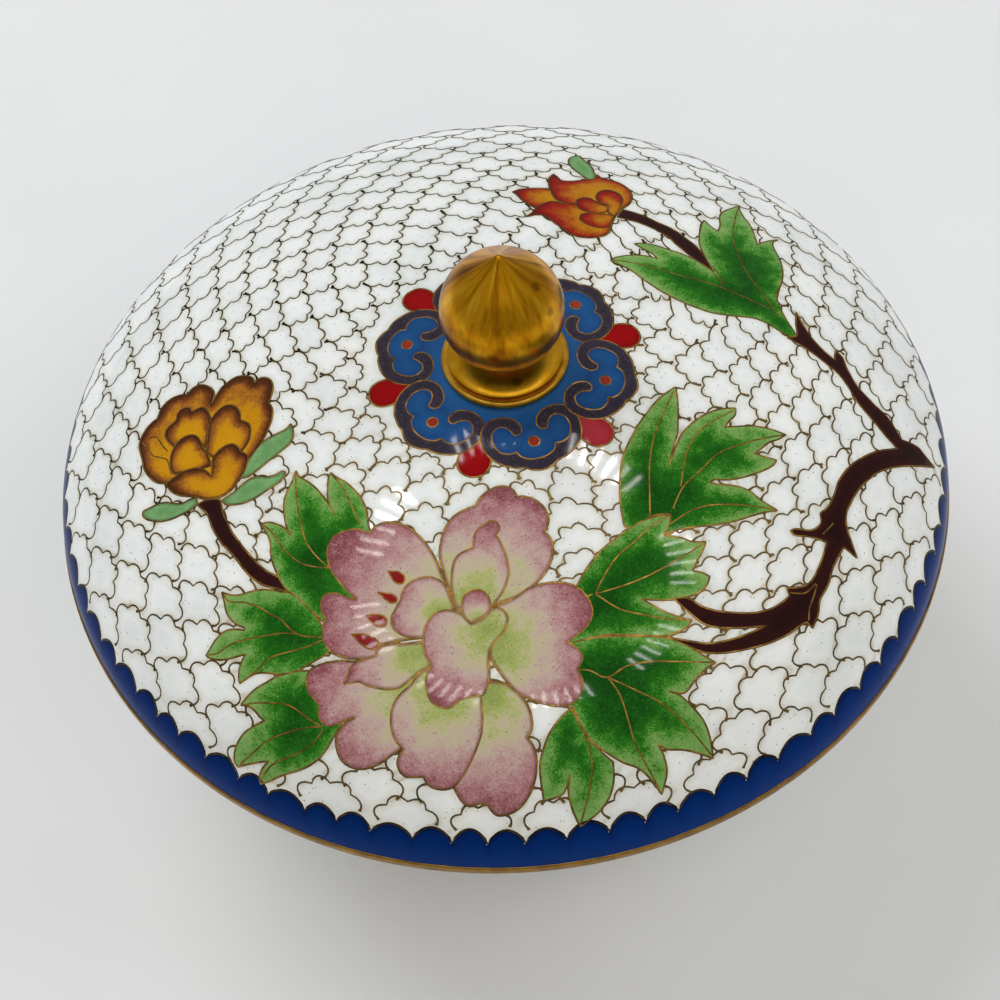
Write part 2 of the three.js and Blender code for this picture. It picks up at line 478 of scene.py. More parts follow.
# Peony, buds, leaves and branch of the inlay, in plan from above. Later ones
# lie over earlier ones. Base is where a petal's pale end is, and reach how
# far its colours run from there; a point's third number marks a corner.
pictureShapes = [
    dict(name="budStem", enamel="stem", outline=[
        (-51.4, -20.1, 1), (-50.4, -21.3), (-49.6, -22.4), (-49.1, -23.8), (-48.7, -25.2),
        (-47.9, -26.9), (-47, -28.5), (-45.8, -30.1), (-44.5, -32), (-43.6, -33.5),
        (-42.4, -35.2), (-41, -36.6), (-39.5, -37.6), (-37.3, -38.6), (-35.6, -39.6, 1),
        (-36.6, -37.9), (-37.5, -36.6), (-39, -35.5), (-40.2, -34.4), (-41.4, -33),
        (-43.4, -30.1), (-44.3, -28.6), (-45.3, -26.9), (-46, -25.2), (-46.8, -23.3),
        (-47.1, -21.8), (-47.2, -20.6, 1), (-48, -20), (-49.9, -19.8)
    ]),
    dict(name="sepalUpper", enamel="sepal", base=(-43, -17.5), outline=[
        (-42.4, -17.2, 1), (-43.7, -17), (-42.9, -15), (-42, -13.2), (-41.2, -12),
        (-39.7, -10.9), (-38, -10.2), (-36, -9.5), (-35.1, -8.6, 1), (-34.7, -9.9),
        (-34.7, -11.3), (-35.2, -12.4), (-36.2, -13.2), (-37.7, -14.3), (-39.3, -15.3),
        (-40.8, -16.3)
    ]),
    dict(name="sepalLower", enamel="sepal", base=(-46.5, -20.3), outline=[
        (-45, -19.6, 1), (-43.3, -18.4), (-41.9, -17.7), (-40.4, -17.7), (-39, -18.1),
        (-37.7, -18), (-36.8, -17.6), (-36.2, -17.8, 1), (-36.1, -18.5), (-36.8, -19.3),
        (-38, -20), (-39.7, -20.8), (-41.4, -21.6), (-43.1, -22), (-44.8, -21.9),
        (-46.3, -21.5), (-47, -20.5, 1)
    ]),
    dict(name="sepalLeft", enamel="sepal", base=(-51.5, -19.5), outline=[
        (-61.2, -18.9, 1), (-61.1, -18.2), (-59.9, -18), (-58.4, -17.8), (-57, -18),
        (-55.5, -18.7), (-54.1, -19.1), (-52.8, -18.8), (-51.6, -18.8, 1), (-51.3, -20.1, 1),
        (-52.8, -20.8), (-54.3, -21.2), (-55.8, -21.4), (-57.5, -21.3), (-58.9, -20.8),
        (-60.2, -20.1), (-61, -19.3)
    ]),
    dict(name="leafUpperLeft", enamel="leaf", base=(-29.3, -38), outline=[
        (-40.4, -26.6, 1), (-39, -26.6), (-37.6, -27.3), (-36.3, -28.3), (-35.4, -29.8, 1),
        (-36.1, -27.7), (-36.4, -25.2), (-36.3, -23), (-35.6, -21.2), (-34.8, -19.6),
        (-34.3, -18.1, 1), (-33.7, -19.4), (-32.5, -20.4), (-31.1, -21.9), (-30.1, -23.4),
        (-29, -25.2), (-27.9, -27.4, 1), (-28.5, -26.1), (-29, -24.5), (-29, -22.3),
        (-28.8, -20.5), (-28.4, -19.7, 1), (-27.5, -20.7), (-26, -21.9), (-24.6, -23.6),
        (-23.5, -25.4), (-22.8, -27.4), (-22.6, -29.8), (-22.3, -31.6, 1), (-25, -32.4),
        (-27.9, -38.1), (-25.7, -42.4), (-30.1, -45.6, 1), (-32.6, -42.8), (-35.6, -39.5, 1),
        (-36.4, -38.8), (-37.2, -37.4), (-37.9, -35.6), (-38.5, -33.8), (-38.8, -32),
        (-38.8, -30.2), (-39.4, -28.4)
    ]),
    dict(name="leafLeft", enamel="leaf", base=(-30.5, -47.6), outline=[
        (-47.2, -36.8, 1), (-46.4, -37.3), (-45.3, -37.8), (-43.9, -38), (-42.2, -37.9),
        (-40.5, -38), (-38.8, -38.4), (-37.3, -39), (-36, -39.4), (-35, -40), (-33.9, -41.3),
        (-32.4, -43.1), (-31, -45.4, 1), (-29.3, -48.6, 1), (-30.1, -50.1), (-32.4, -51),
        (-34.6, -51.8, 1), (-36.1, -52), (-37.8, -51.9), (-39.5, -51.4), (-40.9, -51),
        (-42.2, -50.9), (-43.4, -51.2), (-44.7, -51.7, 1), (-44.8, -50.8), (-44.6, -49.4),
        (-44.1, -48.4), (-43.5, -47.6, 1), (-44.6, -47.6), (-46.1, -47.6), (-47.3, -47.5),
        (-48.4, -47.2), (-49.5, -46.7), (-50.2, -46.1, 1), (-49.4, -45.2), (-48.6, -44.3),
        (-47.5, -43.5), (-46.3, -43.2), (-45, -43.4), (-43.6, -43.9, 1), (-43.6, -43.4),
        (-44.7, -42.7), (-45.8, -41.5), (-46.5, -40.2), (-46.8, -38.5)
    ]),
    dict(name="leafLowerLeft", enamel="leaf", base=(-32, -60.3), outline=[
        (-44.7, -54.8, 1), (-43.6, -54), (-42.2, -53.2), (-40.5, -52.7), (-38.8, -52.2),
        (-36.8, -52), (-34.9, -52), (-32.9, -52.4, 1), (-30.2, -56.4, 1), (-31.2, -60, 1),
        (-28.5, -60.9, 1), (-30, -62.5), (-31.1, -63.7), (-32.4, -64.7), (-34.1, -65.3),
        (-36.1, -65.5), (-38.5, -65.4), (-40.9, -65.4), (-42.6, -65.2, 1), (-42.6, -64.5),
        (-42, -63.8), (-40.7, -63.2, 1), (-42.2, -62.9), (-44.4, -62.5), (-46.1, -62.2, 1),
        (-46.6, -61.4), (-46.3, -60.3), (-45.3, -59.2), (-43.9, -58.5), (-40.9, -57.9, 1),
        (-41.7, -57.2), (-42.4, -56.2), (-43.4, -55.3)
    ]),
    dict(name="leafUpperRight", enamel="leaf", base=(24, -34.5), outline=[
        (29.8, -7.9, 1), (29.8, -10.7), (29.5, -14.1), (29, -17.2), (28.2, -19.4),
        (27.3, -22.4), (27.1, -23.2, 1), (27.6, -21.9), (28.7, -19.4), (29.9, -17.2),
        (31.4, -15.5), (33.3, -13.9), (35.3, -12.7), (37.2, -12), (39.5, -11.7, 1),
        (39.2, -13.1), (38, -14.4), (37.1, -15.7, 1), (39.2, -15.4), (42.1, -15.1), (45, -15.5),
        (47.4, -16.3, 1), (46, -17.3), (44.3, -18.1), (42.8, -19.4), (41.5, -20.4, 1),
        (43.1, -21), (45.1, -21.4, 1), (44.3, -22.5), (42.1, -23.8), (39.2, -25), (36.7, -25.6),
        (34.3, -25.7), (33.4, -26.2, 1), (34.6, -26.6), (37.2, -26.7), (39.7, -27.5),
        (41.6, -29.2), (44, -30.7, 1), (42.1, -31.1), (39.7, -31.9), (36.7, -33), (33.3, -33.8),
        (30.4, -34.2), (27.5, -34.7), (24.8, -35.6, 1), (22.1, -36, 1), (18.6, -34.1, 1),
        (18.4, -31.1), (18.5, -28.2), (18.8, -25.3), (19.4, -22.4), (20.4, -19.9),
        (21.7, -17.5), (23.1, -15.1), (24.6, -13.1), (26, -11.2), (27.6, -9.6)
    ]),
    dict(name="leafRight", enamel="leaf", base=(13, -45.3), outline=[
        (8, -46.7, 1), (10.4, -43.4, 1), (11.5, -41.7), (12.9, -39.9), (14.8, -37.9),
        (17.3, -36), (19.7, -34.3), (22.6, -32.9), (26.1, -32.1, 1), (26.1, -33.2),
        (24.8, -35.8, 1), (27.5, -36.2), (29.4, -36.9), (31.4, -36.8, 1), (30.7, -38.4),
        (29.5, -40.3), (28.7, -41.7, 1), (30.2, -42), (31.4, -42.6, 1), (30.8, -43.9),
        (29.3, -45.3), (26.5, -46.2), (23.6, -46.5), (20.1, -46.3, 1), (24.1, -48.6),
        (27.7, -49.7, 1), (26.5, -50.9), (24.1, -51.9), (21.6, -52.1), (17.7, -51.9),
        (14.3, -51.8), (11.4, -52.2), (7, -53.1, 1)
    ]),
    dict(name="leafLowerRight", enamel="leaf", base=(13.4, -58), outline=[
        (7, -53.1, 1), (11.9, -52.2), (17.7, -52.1), (23.1, -52.4), (26.5, -53.5), (28.9, -55),
        (30.8, -56, 1), (29.4, -56.8), (27.5, -58.4), (25.4, -60.5), (23, -60.3, 1),
        (24.6, -60.9), (26.4, -62.4), (28.1, -64.4), (28.9, -66.7), (29.1, -69, 1),
        (27.5, -68.6), (24.6, -68.2), (22.1, -68.2), (20.5, -67.6, 1), (21.3, -69.1),
        (21.6, -71.1), (20.6, -73.6, 1), (19.2, -72.1), (17.3, -70.7), (14.8, -69.9),
        (12.4, -68.6), (10.4, -67.2), (9, -65.2), (8, -62.7, 1), (5.1, -57.9, 1)
    ]),
    dict(name="leafBottom", enamel="leaf", base=(8.2, -63.5), outline=[
        (7.5, -62.5, 1), (5.9, -63.6), (4, -65.6), (2.8, -67.7), (2, -70), (2, -72.2),
        (2.2, -74.3, 1), (3.9, -74), (5.4, -73.4), (6.5, -71.3, 1), (6.1, -73.3), (6.5, -75.4),
        (7.5, -77.2, 1), (9.1, -76.5), (10.9, -75.5), (12.4, -74), (13.2, -72.1),
        (13.3, -69.9, 1), (11.5, -68.5), (9.6, -66.4), (8.5, -64.4)
    ]),
    dict(name="backStem", enamel="stem", outline=[
        (25.3, 36.3, 1), (27.6, 35.3), (29.3, 34.3), (31.3, 32.7), (33.2, 31.4), (34.7, 30),
        (36.1, 28.2), (37.5, 26.4), (38.6, 24), (39.8, 21.1), (41.5, 16.8, 1), (40.3, 19),
        (38.5, 21.1), (36.7, 22.8), (35.1, 25), (33.9, 26.7), (32.8, 28.5), (31.4, 29.9),
        (29.7, 31.3), (27.9, 32.4), (26.2, 33.1), (24.2, 33.9, 1)
    ]),
    dict(name="leafTwin", enamel="leaf", base=(51, 8), outline=[
        (21.8, 21.5, 1), (22.6, 22.3), (24.7, 22.9), (26.9, 23.1), (29, 22.7), (30.2, 22.1, 1),
        (29.4, 23.6), (28, 24.8), (26.5, 26.2, 1), (27.6, 26.4), (29.7, 26.1), (31.8, 25.2),
        (33.9, 24.3), (36, 23.1), (38, 21.4), (39.9, 19.4, 1), (38.8, 23.6), (38.3, 26.8),
        (38.5, 28.9), (38.9, 31), (39.4, 32.8), (40.1, 34.3, 1), (40.9, 32.8), (42.2, 31.2, 1),
        (42.9, 33.1), (43.1, 35.3), (43.6, 37), (44.8, 38.4), (46.3, 39.6), (47.6, 40.7, 1),
        (47.4, 39.1), (47.9, 36.7), (48.6, 34.5), (48.9, 32.1), (49.1, 28.5, 1), (50.2, 29.4),
        (51.6, 30.3), (53.4, 31.2, 1), (52.2, 30), (52.1, 28.2), (52.6, 25.7), (52.8, 23.3),
        (52.6, 21.1), (52.1, 19), (51.2, 16.6), (50.5, 14.4), (51.2, 17.1), (50.5, 14.6),
        (50.7, 11.8), (51.3, 9.3), (52.7, 5.4, 1), (51.2, 5.3), (49.5, 6.4), (47.8, 7.7),
        (45.4, 8.7), (42, 8.8), (38.2, 9.2), (34.8, 10.6), (31.9, 12.3), (29.1, 14.6),
        (30.4, 13.4), (28.6, 15.1), (26.9, 16.9), (25.1, 19), (23.3, 20.4)
    ]),
    dict(name="branch", enamel="branch", outline=[
        (25.2, -46.2, 1), (27.6, -46.2), (29.5, -47.4), (31.9, -48.1), (34.8, -48.3),
        (37.7, -48.2), (40.4, -47.5), (42.5, -46.4), (44.2, -45, 1), (43.9, -43.8, 1),
        (45.4, -43.6), (47.4, -42.9), (49, -41.1), (50.7, -37.9), (51.7, -35.3, 1),
        (48.8, -34.8), (46.5, -34.8), (45.8, -34.1, 1), (46.9, -33.7), (49.2, -33.7),
        (51.1, -32.4), (51.3, -30.5, 1), (52.9, -29), (54.3, -26.6), (55.5, -24), (57.7, -21.1),
        (60.3, -18.9), (63.2, -17), (66.1, -15.8), (67.3, -15.3, 1), (65.4, -13.2),
        (63.4, -10.3), (61.5, -7.6), (60.3, -4.5), (58.9, -1.9), (56.5, 0.5), (53.6, 3.1),
        (50.9, 4.8, 1), (52.7, 5.6), (53, 8.5), (53.5, 11.3, 1), (54.2, 8.5), (55.3, 5.6),
        (57.2, 2.7), (58.8, 1.2, 1), (59.3, 3.3, 1), (60.3, 2), (60.8, -0.7), (62, -4),
        (64.2, -6.9), (66.6, -9.4), (68.5, -13.2, 1), (71.4, -13.4), (72.6, -14.4),
        (74.4, -15.7, 1), (71.8, -16.9), (69, -18), (65.6, -19.4), (62.7, -21.1), (60.3, -23.3),
        (58.4, -25.4), (56.9, -27.8), (55.7, -30.2), (55.6, -32.9), (56.6, -37.3, 1),
        (54.5, -35.8, 1), (53.6, -37.2), (52.1, -39.6), (50.9, -42.5), (49.2, -45.1),
        (48.6, -47.3), (47.4, -49.6, 1), (46.6, -48.8, 1), (45.6, -49.3), (43, -51.1),
        (39.6, -52.7), (36.3, -53.7), (32.4, -54.5), (29.1, -54.5), (26.7, -53.6),
        (23.3, -52.3, 1), (27.1, -52.9), (30, -53.2), (32.9, -52.7), (36.3, -51.6),
        (39.7, -50, 1), (36.3, -50.5), (32.4, -50.7), (29.8, -50.2), (27.9, -48.8)
    ]),
    dict(name="petalLeft", enamel="petal", base=(-10, -47.5), reach=21, outline=[
        (-25.1, -42.4, 1), (-26.4, -40.9), (-27.9, -38.8), (-29, -36.9), (-29.5, -34.5),
        (-29.3, -32.8), (-28.3, -31.2), (-26.4, -30.6), (-24.4, -30.6), (-22.5, -31.6, 1),
        (-21.2, -30.6), (-19.5, -30.2), (-17.7, -30.8), (-16, -31.7), (-14.3, -33.5),
        (-13, -35.5), (-11.9, -37.8), (-11.2, -40.2), (-10.4, -42.4), (-9.4, -45.8, 1),
        (-11.2, -48), (-15.1, -50, 1), (-18.2, -50), (-21.8, -50, 1), (-22.3, -51.7),
        (-24, -52), (-25.7, -51.7, 1), (-27.2, -51.4), (-28.6, -50.7), (-30, -49.6),
        (-30.7, -47.8), (-30.7, -46.2), (-30.1, -44.9, 1), (-30.6, -43.9), (-30.9, -42.4),
        (-30.4, -41.1), (-29.2, -40.7), (-27.5, -41.3), (-26.1, -42.1)
    ]),
    dict(name="petalLobed", enamel="petal", base=(-11, -47), reach=9.5, outline=[
        (-9.4, -45.8, 1), (-10, -44.3), (-10.5, -42.6), (-11.2, -41.5), (-12.3, -40.7),
        (-13.8, -40.3), (-15.6, -40.6), (-16.9, -41.3), (-17.7, -42.4), (-18, -43.6, 1),
        (-19, -45.1), (-19.7, -46.4), (-19.4, -48), (-18.2, -49.1), (-16.8, -49.7),
        (-14.9, -50, 1), (-11.9, -48.8)
    ]),
    dict(name="petalBack", enamel="petal", base=(-6, -45.5), reach=19, outline=[
        (-9.3, -46, 1), (-10.1, -43.2), (-10.8, -40.2), (-11.3, -37.2), (-11, -35),
        (-10.3, -32.8), (-8.9, -30.9), (-7.3, -29.9), (-4.9, -29.1, 1), (-4.4, -28.1),
        (-3.2, -27), (-1.5, -26.2), (-0, -26.2), (1.2, -26.9), (1.8, -28.2, 1), (2.9, -28.2),
        (4.6, -28.9), (5.9, -30.3), (6.5, -32), (6.3, -33.5), (5.6, -34.6, 1), (6.5, -35.6),
        (6.8, -37.2), (6.5, -39.1), (5.6, -41), (4.2, -42.6), (2.6, -43.9), (0.3, -45.1),
        (-2.3, -45.8), (-3.6, -46.4, 1), (-6, -47.3)
    ]),
    dict(name="petalFold", enamel="petal", base=(-6.5, -45), reach=13, outline=[
        (-9.3, -45.8, 1), (-9.8, -42.8), (-9.6, -40.2), (-9, -38.1), (-8, -37.1),
        (-6, -36.3, 1), (-5.7, -34.6), (-5.2, -33.5), (-4.1, -32.6), (-2.6, -32), (-1.7, -32.4),
        (-1.4, -33.5), (-2, -34.6, 1), (-1.3, -36.1), (-0.6, -38.4), (-0.4, -40.6),
        (-0.8, -42.4), (-1.5, -43.9), (-2.6, -45.2), (-3.6, -46.4, 1), (-6, -47.3)
    ]),
    dict(name="petalRight", enamel="petal", base=(-3.5, -52), reach=15.5, outline=[
        (-3.6, -46.4, 1), (-1.5, -45.8), (0.3, -45.1), (2.2, -43.9), (4.2, -43.3), (6.7, -43.1),
        (8.9, -43.5), (10.6, -44.5), (11.7, -46), (12.2, -47.7), (11.9, -49.1), (11.1, -50.4),
        (9.8, -51.4), (7.8, -52.7, 1), (9.3, -53.7), (10, -54.9), (9.6, -56), (9, -56.9, 1),
        (9.6, -58.2), (9.5, -59.9), (8.5, -61.2), (7, -62), (5.2, -62), (2.9, -61.4),
        (0.7, -60.5), (-0.8, -59.5), (-2.6, -57.3), (-4.5, -54.2, 1)
    ]),
    dict(name="petalLowerLeft", enamel="petal", base=(-16, -56), reach=17, outline=[
        (-26.3, -52.1, 1), (-27.9, -51.7), (-30.1, -51.6), (-32.2, -51.9), (-33.4, -52.6),
        (-33.8, -53.9), (-33.5, -55.5), (-32.6, -56.7), (-31.9, -57.6, 1), (-32.1, -58.9),
        (-31.7, -60), (-30.7, -60.8), (-29, -60.7), (-27.4, -60.4), (-26.3, -60.3, 1),
        (-27.9, -60.9), (-29, -61.7), (-29.6, -63), (-29.3, -64.9), (-28.4, -66.2),
        (-26.8, -67.1), (-25, -67.4), (-22.9, -67.1), (-20.9, -66.3), (-19.3, -65.6, 1),
        (-17, -62), (-15, -56), (-16, -53)
    ]),
    dict(name="petalStrap", enamel="petal", base=(-15, -52), reach=13.5, outline=[
        (-27.7, -55.2, 1), (-27, -53.6), (-25.9, -52.4), (-24, -52), (-22.3, -51.7, 1),
        (-21.8, -50.6), (-20.5, -50.4), (-17.9, -50.6), (-14.8, -50.6, 1), (-14.2, -52.9),
        (-13.6, -54.5, 1), (-15.6, -55.2), (-17.1, -56.1), (-19, -57.1), (-20.8, -57.1),
        (-22.7, -56.6), (-24.2, -56), (-25.3, -55.3), (-26.4, -55.3)
    ]),
    dict(name="petalBottomRight", enamel="petal", base=(-5.5, -58.5), reach=17, outline=[
        (-5.2, -57.7, 1), (-2.6, -58.1), (-0.8, -59.5), (0.4, -60.9), (1.1, -62.5), (1.3, -64),
        (1.1, -65.1), (0.3, -66.1, 1), (1.1, -67.2), (1.5, -68.7), (1.3, -70.7), (0.7, -72.4),
        (-0.4, -73.9), (-1.9, -75), (-3.7, -75.5), (-5.4, -75.4), (-6.6, -74.2, 1),
        (-7.8, -73.9), (-9.3, -74.1), (-10.6, -73.3), (-11.7, -71.4, 1), (-9.7, -66.6),
        (-7.5, -61)
    ]),
    dict(name="petalBottom", enamel="petal", base=(-12, -58.5), reach=14, outline=[
        (-14.2, -54.7, 1), (-15.6, -55.3), (-17.1, -56.8), (-18.6, -57.8), (-19.7, -58.8),
        (-20.5, -60.3), (-20.7, -62.2), (-20.5, -63.6), (-19.9, -64.8), (-19.1, -65.7, 1),
        (-19.7, -66.5), (-20.1, -67.5), (-19.7, -68.7), (-18.8, -69.4), (-17.3, -69.6),
        (-16.2, -69.7, 1), (-15.6, -70.7), (-14.5, -71.4), (-12.7, -71.7), (-11.2, -71.3),
        (-9.7, -70), (-8.4, -68.3), (-7.4, -66.6), (-6.6, -64.8), (-6.3, -62.9), (-6.3, -61),
        (-6.3, -59.6, 1), (-11.2, -57.3)
    ]),
    dict(name="petalCentre", enamel="petal", base=(-4.5, -50), reach=12.5, outline=[
        (-7, -48.7, 1), (-8.1, -47.3), (-9.6, -46.4), (-11.2, -46.1), (-12.7, -46.5),
        (-14, -47.7), (-14.6, -49.1), (-14.8, -51), (-14.6, -52.9), (-13.7, -54.4, 1),
        (-14.4, -55.3), (-14.8, -56.6), (-14.7, -58.1), (-14.2, -59.6), (-12.9, -60.6),
        (-11.2, -60.9), (-9.6, -60), (-7.8, -59.7), (-6, -59.6, 1), (-5.3, -58.6),
        (-4.8, -56.9), (-4.7, -54.7), (-4.4, -53), (-3.2, -51.6), (-1.8, -50.1), (-1.2, -48.5),
        (-1.6, -47.2), (-2.6, -46.5), (-3.7, -46.6, 1), (-5.2, -48)
    ]),
    dict(name="petalBud", enamel="petal", base=(-6, -49), reach=5.6, outline=[
        (-7, -48.7, 1), (-8, -47.7), (-8.4, -46.2), (-8.2, -44.8), (-7.4, -43.7), (-6, -43.3),
        (-4.7, -43.7), (-3.9, -44.9), (-3.7, -46.6, 1), (-4.9, -47.7)
    ]),
    dict(name="dropA", enamel="drop", outline=[
        (-19.7, -38.6, 1), (-18.9, -38.7), (-17.7, -39.1), (-17.1, -39.9), (-17.3, -40.8),
        (-18.2, -40.9), (-19, -40.2)
    ]),
    dict(name="dropB", enamel="drop", outline=[
        (-21.6, -41.8, 1), (-20.5, -42.1), (-19.2, -42.5), (-18.5, -43.2), (-18.8, -43.9),
        (-19.7, -43.8), (-20.7, -42.8)
    ]),
    dict(name="dropC", enamel="drop", outline=[
        (-23.6, -45.3, 1), (-22.1, -45.3), (-20.8, -45.8), (-20.3, -46.5), (-20.7, -47.4),
        (-21.8, -47.3), (-22.9, -46.4)
    ]),
    dict(name="dropD", enamel="drop", outline=[
        (-26.1, -47.9, 1), (-24.4, -48.1), (-22.9, -48.8), (-21.9, -49.7), (-22.3, -50.7),
        (-23.4, -50.6), (-24.6, -49.7), (-25.5, -48.6)
    ]),
    dict(name="budOuter", enamel="bud", base=(-49.5, -12), reach=16.5, outline=[
        (-49.1, -0.5, 1), (-48.8, 0.6), (-48.7, 1.8), (-49.1, 2.8), (-49.8, 3.6), (-50.8, 4.3),
        (-51.8, 4.5), (-52.9, 4.1), (-53.7, 3.1, 1), (-54.3, 3.4), (-55.3, 3.5), (-56.4, 3.4),
        (-57.4, 2.9), (-58.2, 2.1), (-58.7, 1.2), (-59.1, -0.2, 1), (-59.9, -0.5),
        (-60.8, -1.2), (-61.6, -2.3), (-62.1, -3.5), (-62.3, -4.8), (-62, -6.2), (-61.6, -7.8),
        (-61.2, -9.7), (-60.6, -11.1), (-59.6, -12.6), (-58.4, -13.7), (-56.9, -14.3, 1),
        (-52.4, -16.7), (-47.5, -17), (-43.3, -15.2), (-41.9, -13.2, 1), (-40.7, -11.8),
        (-39.8, -10.4), (-39.2, -9.2), (-38.9, -8.5), (-38.4, -7), (-38.2, -5.6), (-38.4, -4.2),
        (-39, -3.1, 1), (-38.6, -2.3), (-38.3, -1.1), (-38.2, 0.2), (-38.5, 1.4), (-39.1, 2.2),
        (-39.9, 2.6), (-40.8, 2.5), (-41.5, 2, 1), (-41.8, 2.9), (-42.6, 3.7), (-43.6, 4.1),
        (-44.9, 4.1), (-46.1, 3.5), (-47.1, 2.8), (-47.9, 1.8), (-48.6, 0.7)
    ]),
    dict(name="budCrown", enamel="bud", base=(-52.5, -7.5), reach=7.5, outline=[
        (-55.5, -7.7, 1), (-56.6, -6.4), (-57.3, -5.1), (-57.5, -3.9), (-57.1, -2.9),
        (-56.1, -2.3, 1), (-55.5, -1.6), (-55.4, -0.8), (-54.9, -0), (-54.1, 0.3), (-53.1, 0.1),
        (-52.7, -0.9, 1), (-51.9, -0.7), (-51, -0.6), (-50.2, -1.1), (-49.6, -2.1),
        (-49.2, -3.4, 1), (-49.4, -5.7), (-49.9, -9.6, 1), (-52.8, -7.4)
    ]),
    dict(name="budRightInner", enamel="bud", base=(-46.5, -11.5), reach=10, outline=[
        (-49.8, -10.6, 1), (-49.8, -8.7), (-49.7, -7), (-49.6, -5.5), (-49.2, -4),
        (-48.3, -2.7), (-47.2, -1.8), (-46.3, -1.6), (-45.3, -1.8), (-44.4, -2.8), (-43.9, -4),
        (-43.9, -5.5, 1), (-43.1, -6), (-42.3, -6.8), (-42, -7.8), (-42, -9.2), (-42.4, -10.4),
        (-43, -11.3), (-44.1, -12.6, 1), (-47, -13.1)
    ]),
    dict(name="budLeftInner", enamel="bud", base=(-53, -12.5), reach=7.5, outline=[
        (-55.6, -13.1, 1), (-56.3, -11.6), (-56.3, -9.2), (-55.9, -7.7), (-55, -6.5),
        (-53.8, -5.9), (-52.8, -5.9), (-51.7, -6.5), (-51, -7.7), (-50.5, -9.2),
        (-49.6, -10.6, 1), (-48.9, -13.5, 1)
    ]),
    dict(name="budFront", enamel="bud", base=(-48, -19), reach=9.5, outline=[
        (-57.1, -14.3, 1), (-56.3, -13.9), (-55, -13.3), (-53.6, -12.9), (-52.1, -12.9),
        (-50.9, -13.3), (-49.9, -14), (-48.9, -15.2, 1), (-48.9, -13.8), (-48.8, -12.3),
        (-48.2, -11.1), (-47.2, -10.3), (-46, -9.9), (-45, -10.1), (-44.2, -10.9),
        (-43.8, -12, 1), (-43, -12.6), (-42.5, -13.5), (-42.6, -14.6), (-43.1, -16),
        (-44.1, -17.4), (-44.8, -18.5), (-45.8, -19.3), (-47, -19.8), (-48.5, -19.8),
        (-49.9, -19.5), (-51.1, -18.9, 1), (-52.6, -18.2), (-54.2, -17.6), (-55.5, -16.7),
        (-56.4, -15.6)
    ]),
    dict(name="sepalBack", enamel="sepal", base=(20.3, 46.5), outline=[
        (19.8, 46.1, 1), (19.2, 47.1), (18.3, 48.4), (17.5, 49.8), (16.9, 51.3), (16.8, 52.6),
        (17, 53.7), (17.7, 54.6), (18.7, 55.1, 1), (19.2, 54.7), (19.5, 53.7), (20.1, 52.6),
        (20.7, 51.3), (21.1, 50), (21.2, 48.7), (21.4, 47.6), (21, 46.1, 1)
    ]),
    dict(name="bloomSmall", enamel="bloom", base=(13, 40.5), reach=7.5, outline=[
        (5.7, 42.5, 1), (7, 43.2), (8.8, 43.4), (10.7, 43.3), (12.7, 43, 1), (14.2, 40.4),
        (13.8, 38.4), (10.7, 37.1), (9.5, 37.1, 1), (8.3, 38.2), (7.2, 39.8), (6.4, 41.5)
    ]),
    dict(name="bloomUpper", enamel="bloom", base=(22.5, 40), reach=12, outline=[
        (13.6, 48.1, 1), (12.9, 47.1), (12.5, 45.8), (12.5, 44.3), (12.7, 42.6), (12.9, 41),
        (13.4, 39.5, 1), (15.5, 38), (19.4, 37.6), (23.8, 36.5), (25.7, 36.9, 1), (26.2, 37.4),
        (26.9, 38.4), (27.4, 39.9), (27.5, 41.5), (27.1, 43), (26.2, 44.4), (25.1, 45.4),
        (23.8, 46.1), (22.4, 46.7), (21.8, 47.9, 1), (21, 46.4), (19.4, 46), (17.7, 45.6),
        (16.4, 45.5), (15.1, 45.7), (14.6, 46.3), (14.1, 47.3)
    ]),
    dict(name="bloomLower", enamel="bloom", base=(22.5, 34.5), reach=13, outline=[
        (7.6, 34.5, 1), (8.8, 35.6), (9.5, 36.7), (10.2, 37.8), (11.4, 38.6), (12.9, 38.9),
        (14.6, 38.3), (16.8, 37.9), (19.4, 37.8), (23.8, 37.8), (25.7, 37, 1), (24.8, 35.6),
        (23.8, 34.2), (23.1, 32.3), (22.5, 30.1), (22.1, 29.2, 1), (21.2, 28.4), (19.7, 27.9),
        (18.1, 27.8), (16.8, 28.1), (15.7, 28.6), (14.6, 29.7), (13.6, 31), (12.5, 32.5),
        (11.6, 33.8), (10.7, 34.7), (9.4, 34.9), (8.3, 34.6)
    ]),
    dict(name="curlUpper", enamel="bloom", base=(23.5, 36), reach=6.5, outline=[
        (22.7, 37.4, 1), (21.4, 38.2), (20.8, 39.5), (21, 41), (21.9, 42.2), (23.1, 42.5),
        (24.4, 42.1), (25.3, 41.1), (25.7, 39.6), (25.4, 38), (24.9, 36.2), (23.8, 34.2, 1),
        (22.9, 34.3), (22.5, 35.8)
    ]),
    dict(name="curlLeft", enamel="bloom", base=(22.5, 36.5), reach=5.6, outline=[
        (17, 37.3, 1), (17, 38.6), (17.5, 39.5), (18.6, 40), (19.7, 39.8), (20.4, 39),
        (21.4, 38), (22.8, 37.3, 1), (22.6, 35.8), (21.4, 34.9, 1), (19.9, 35), (18.6, 35.5),
        (17.5, 36.4)
    ]),
    dict(name="curlLower", enamel="bloom", base=(23, 34.5), reach=6.5, outline=[
        (21.4, 34.9, 1), (19.4, 35.2), (17.8, 34.8), (17.3, 33.8), (17.4, 32.8), (18.2, 31.8),
        (19.3, 31.1), (20.7, 30.6), (22.5, 30.7, 1), (23.1, 32.8), (23.5, 34.3)
    ]),
]
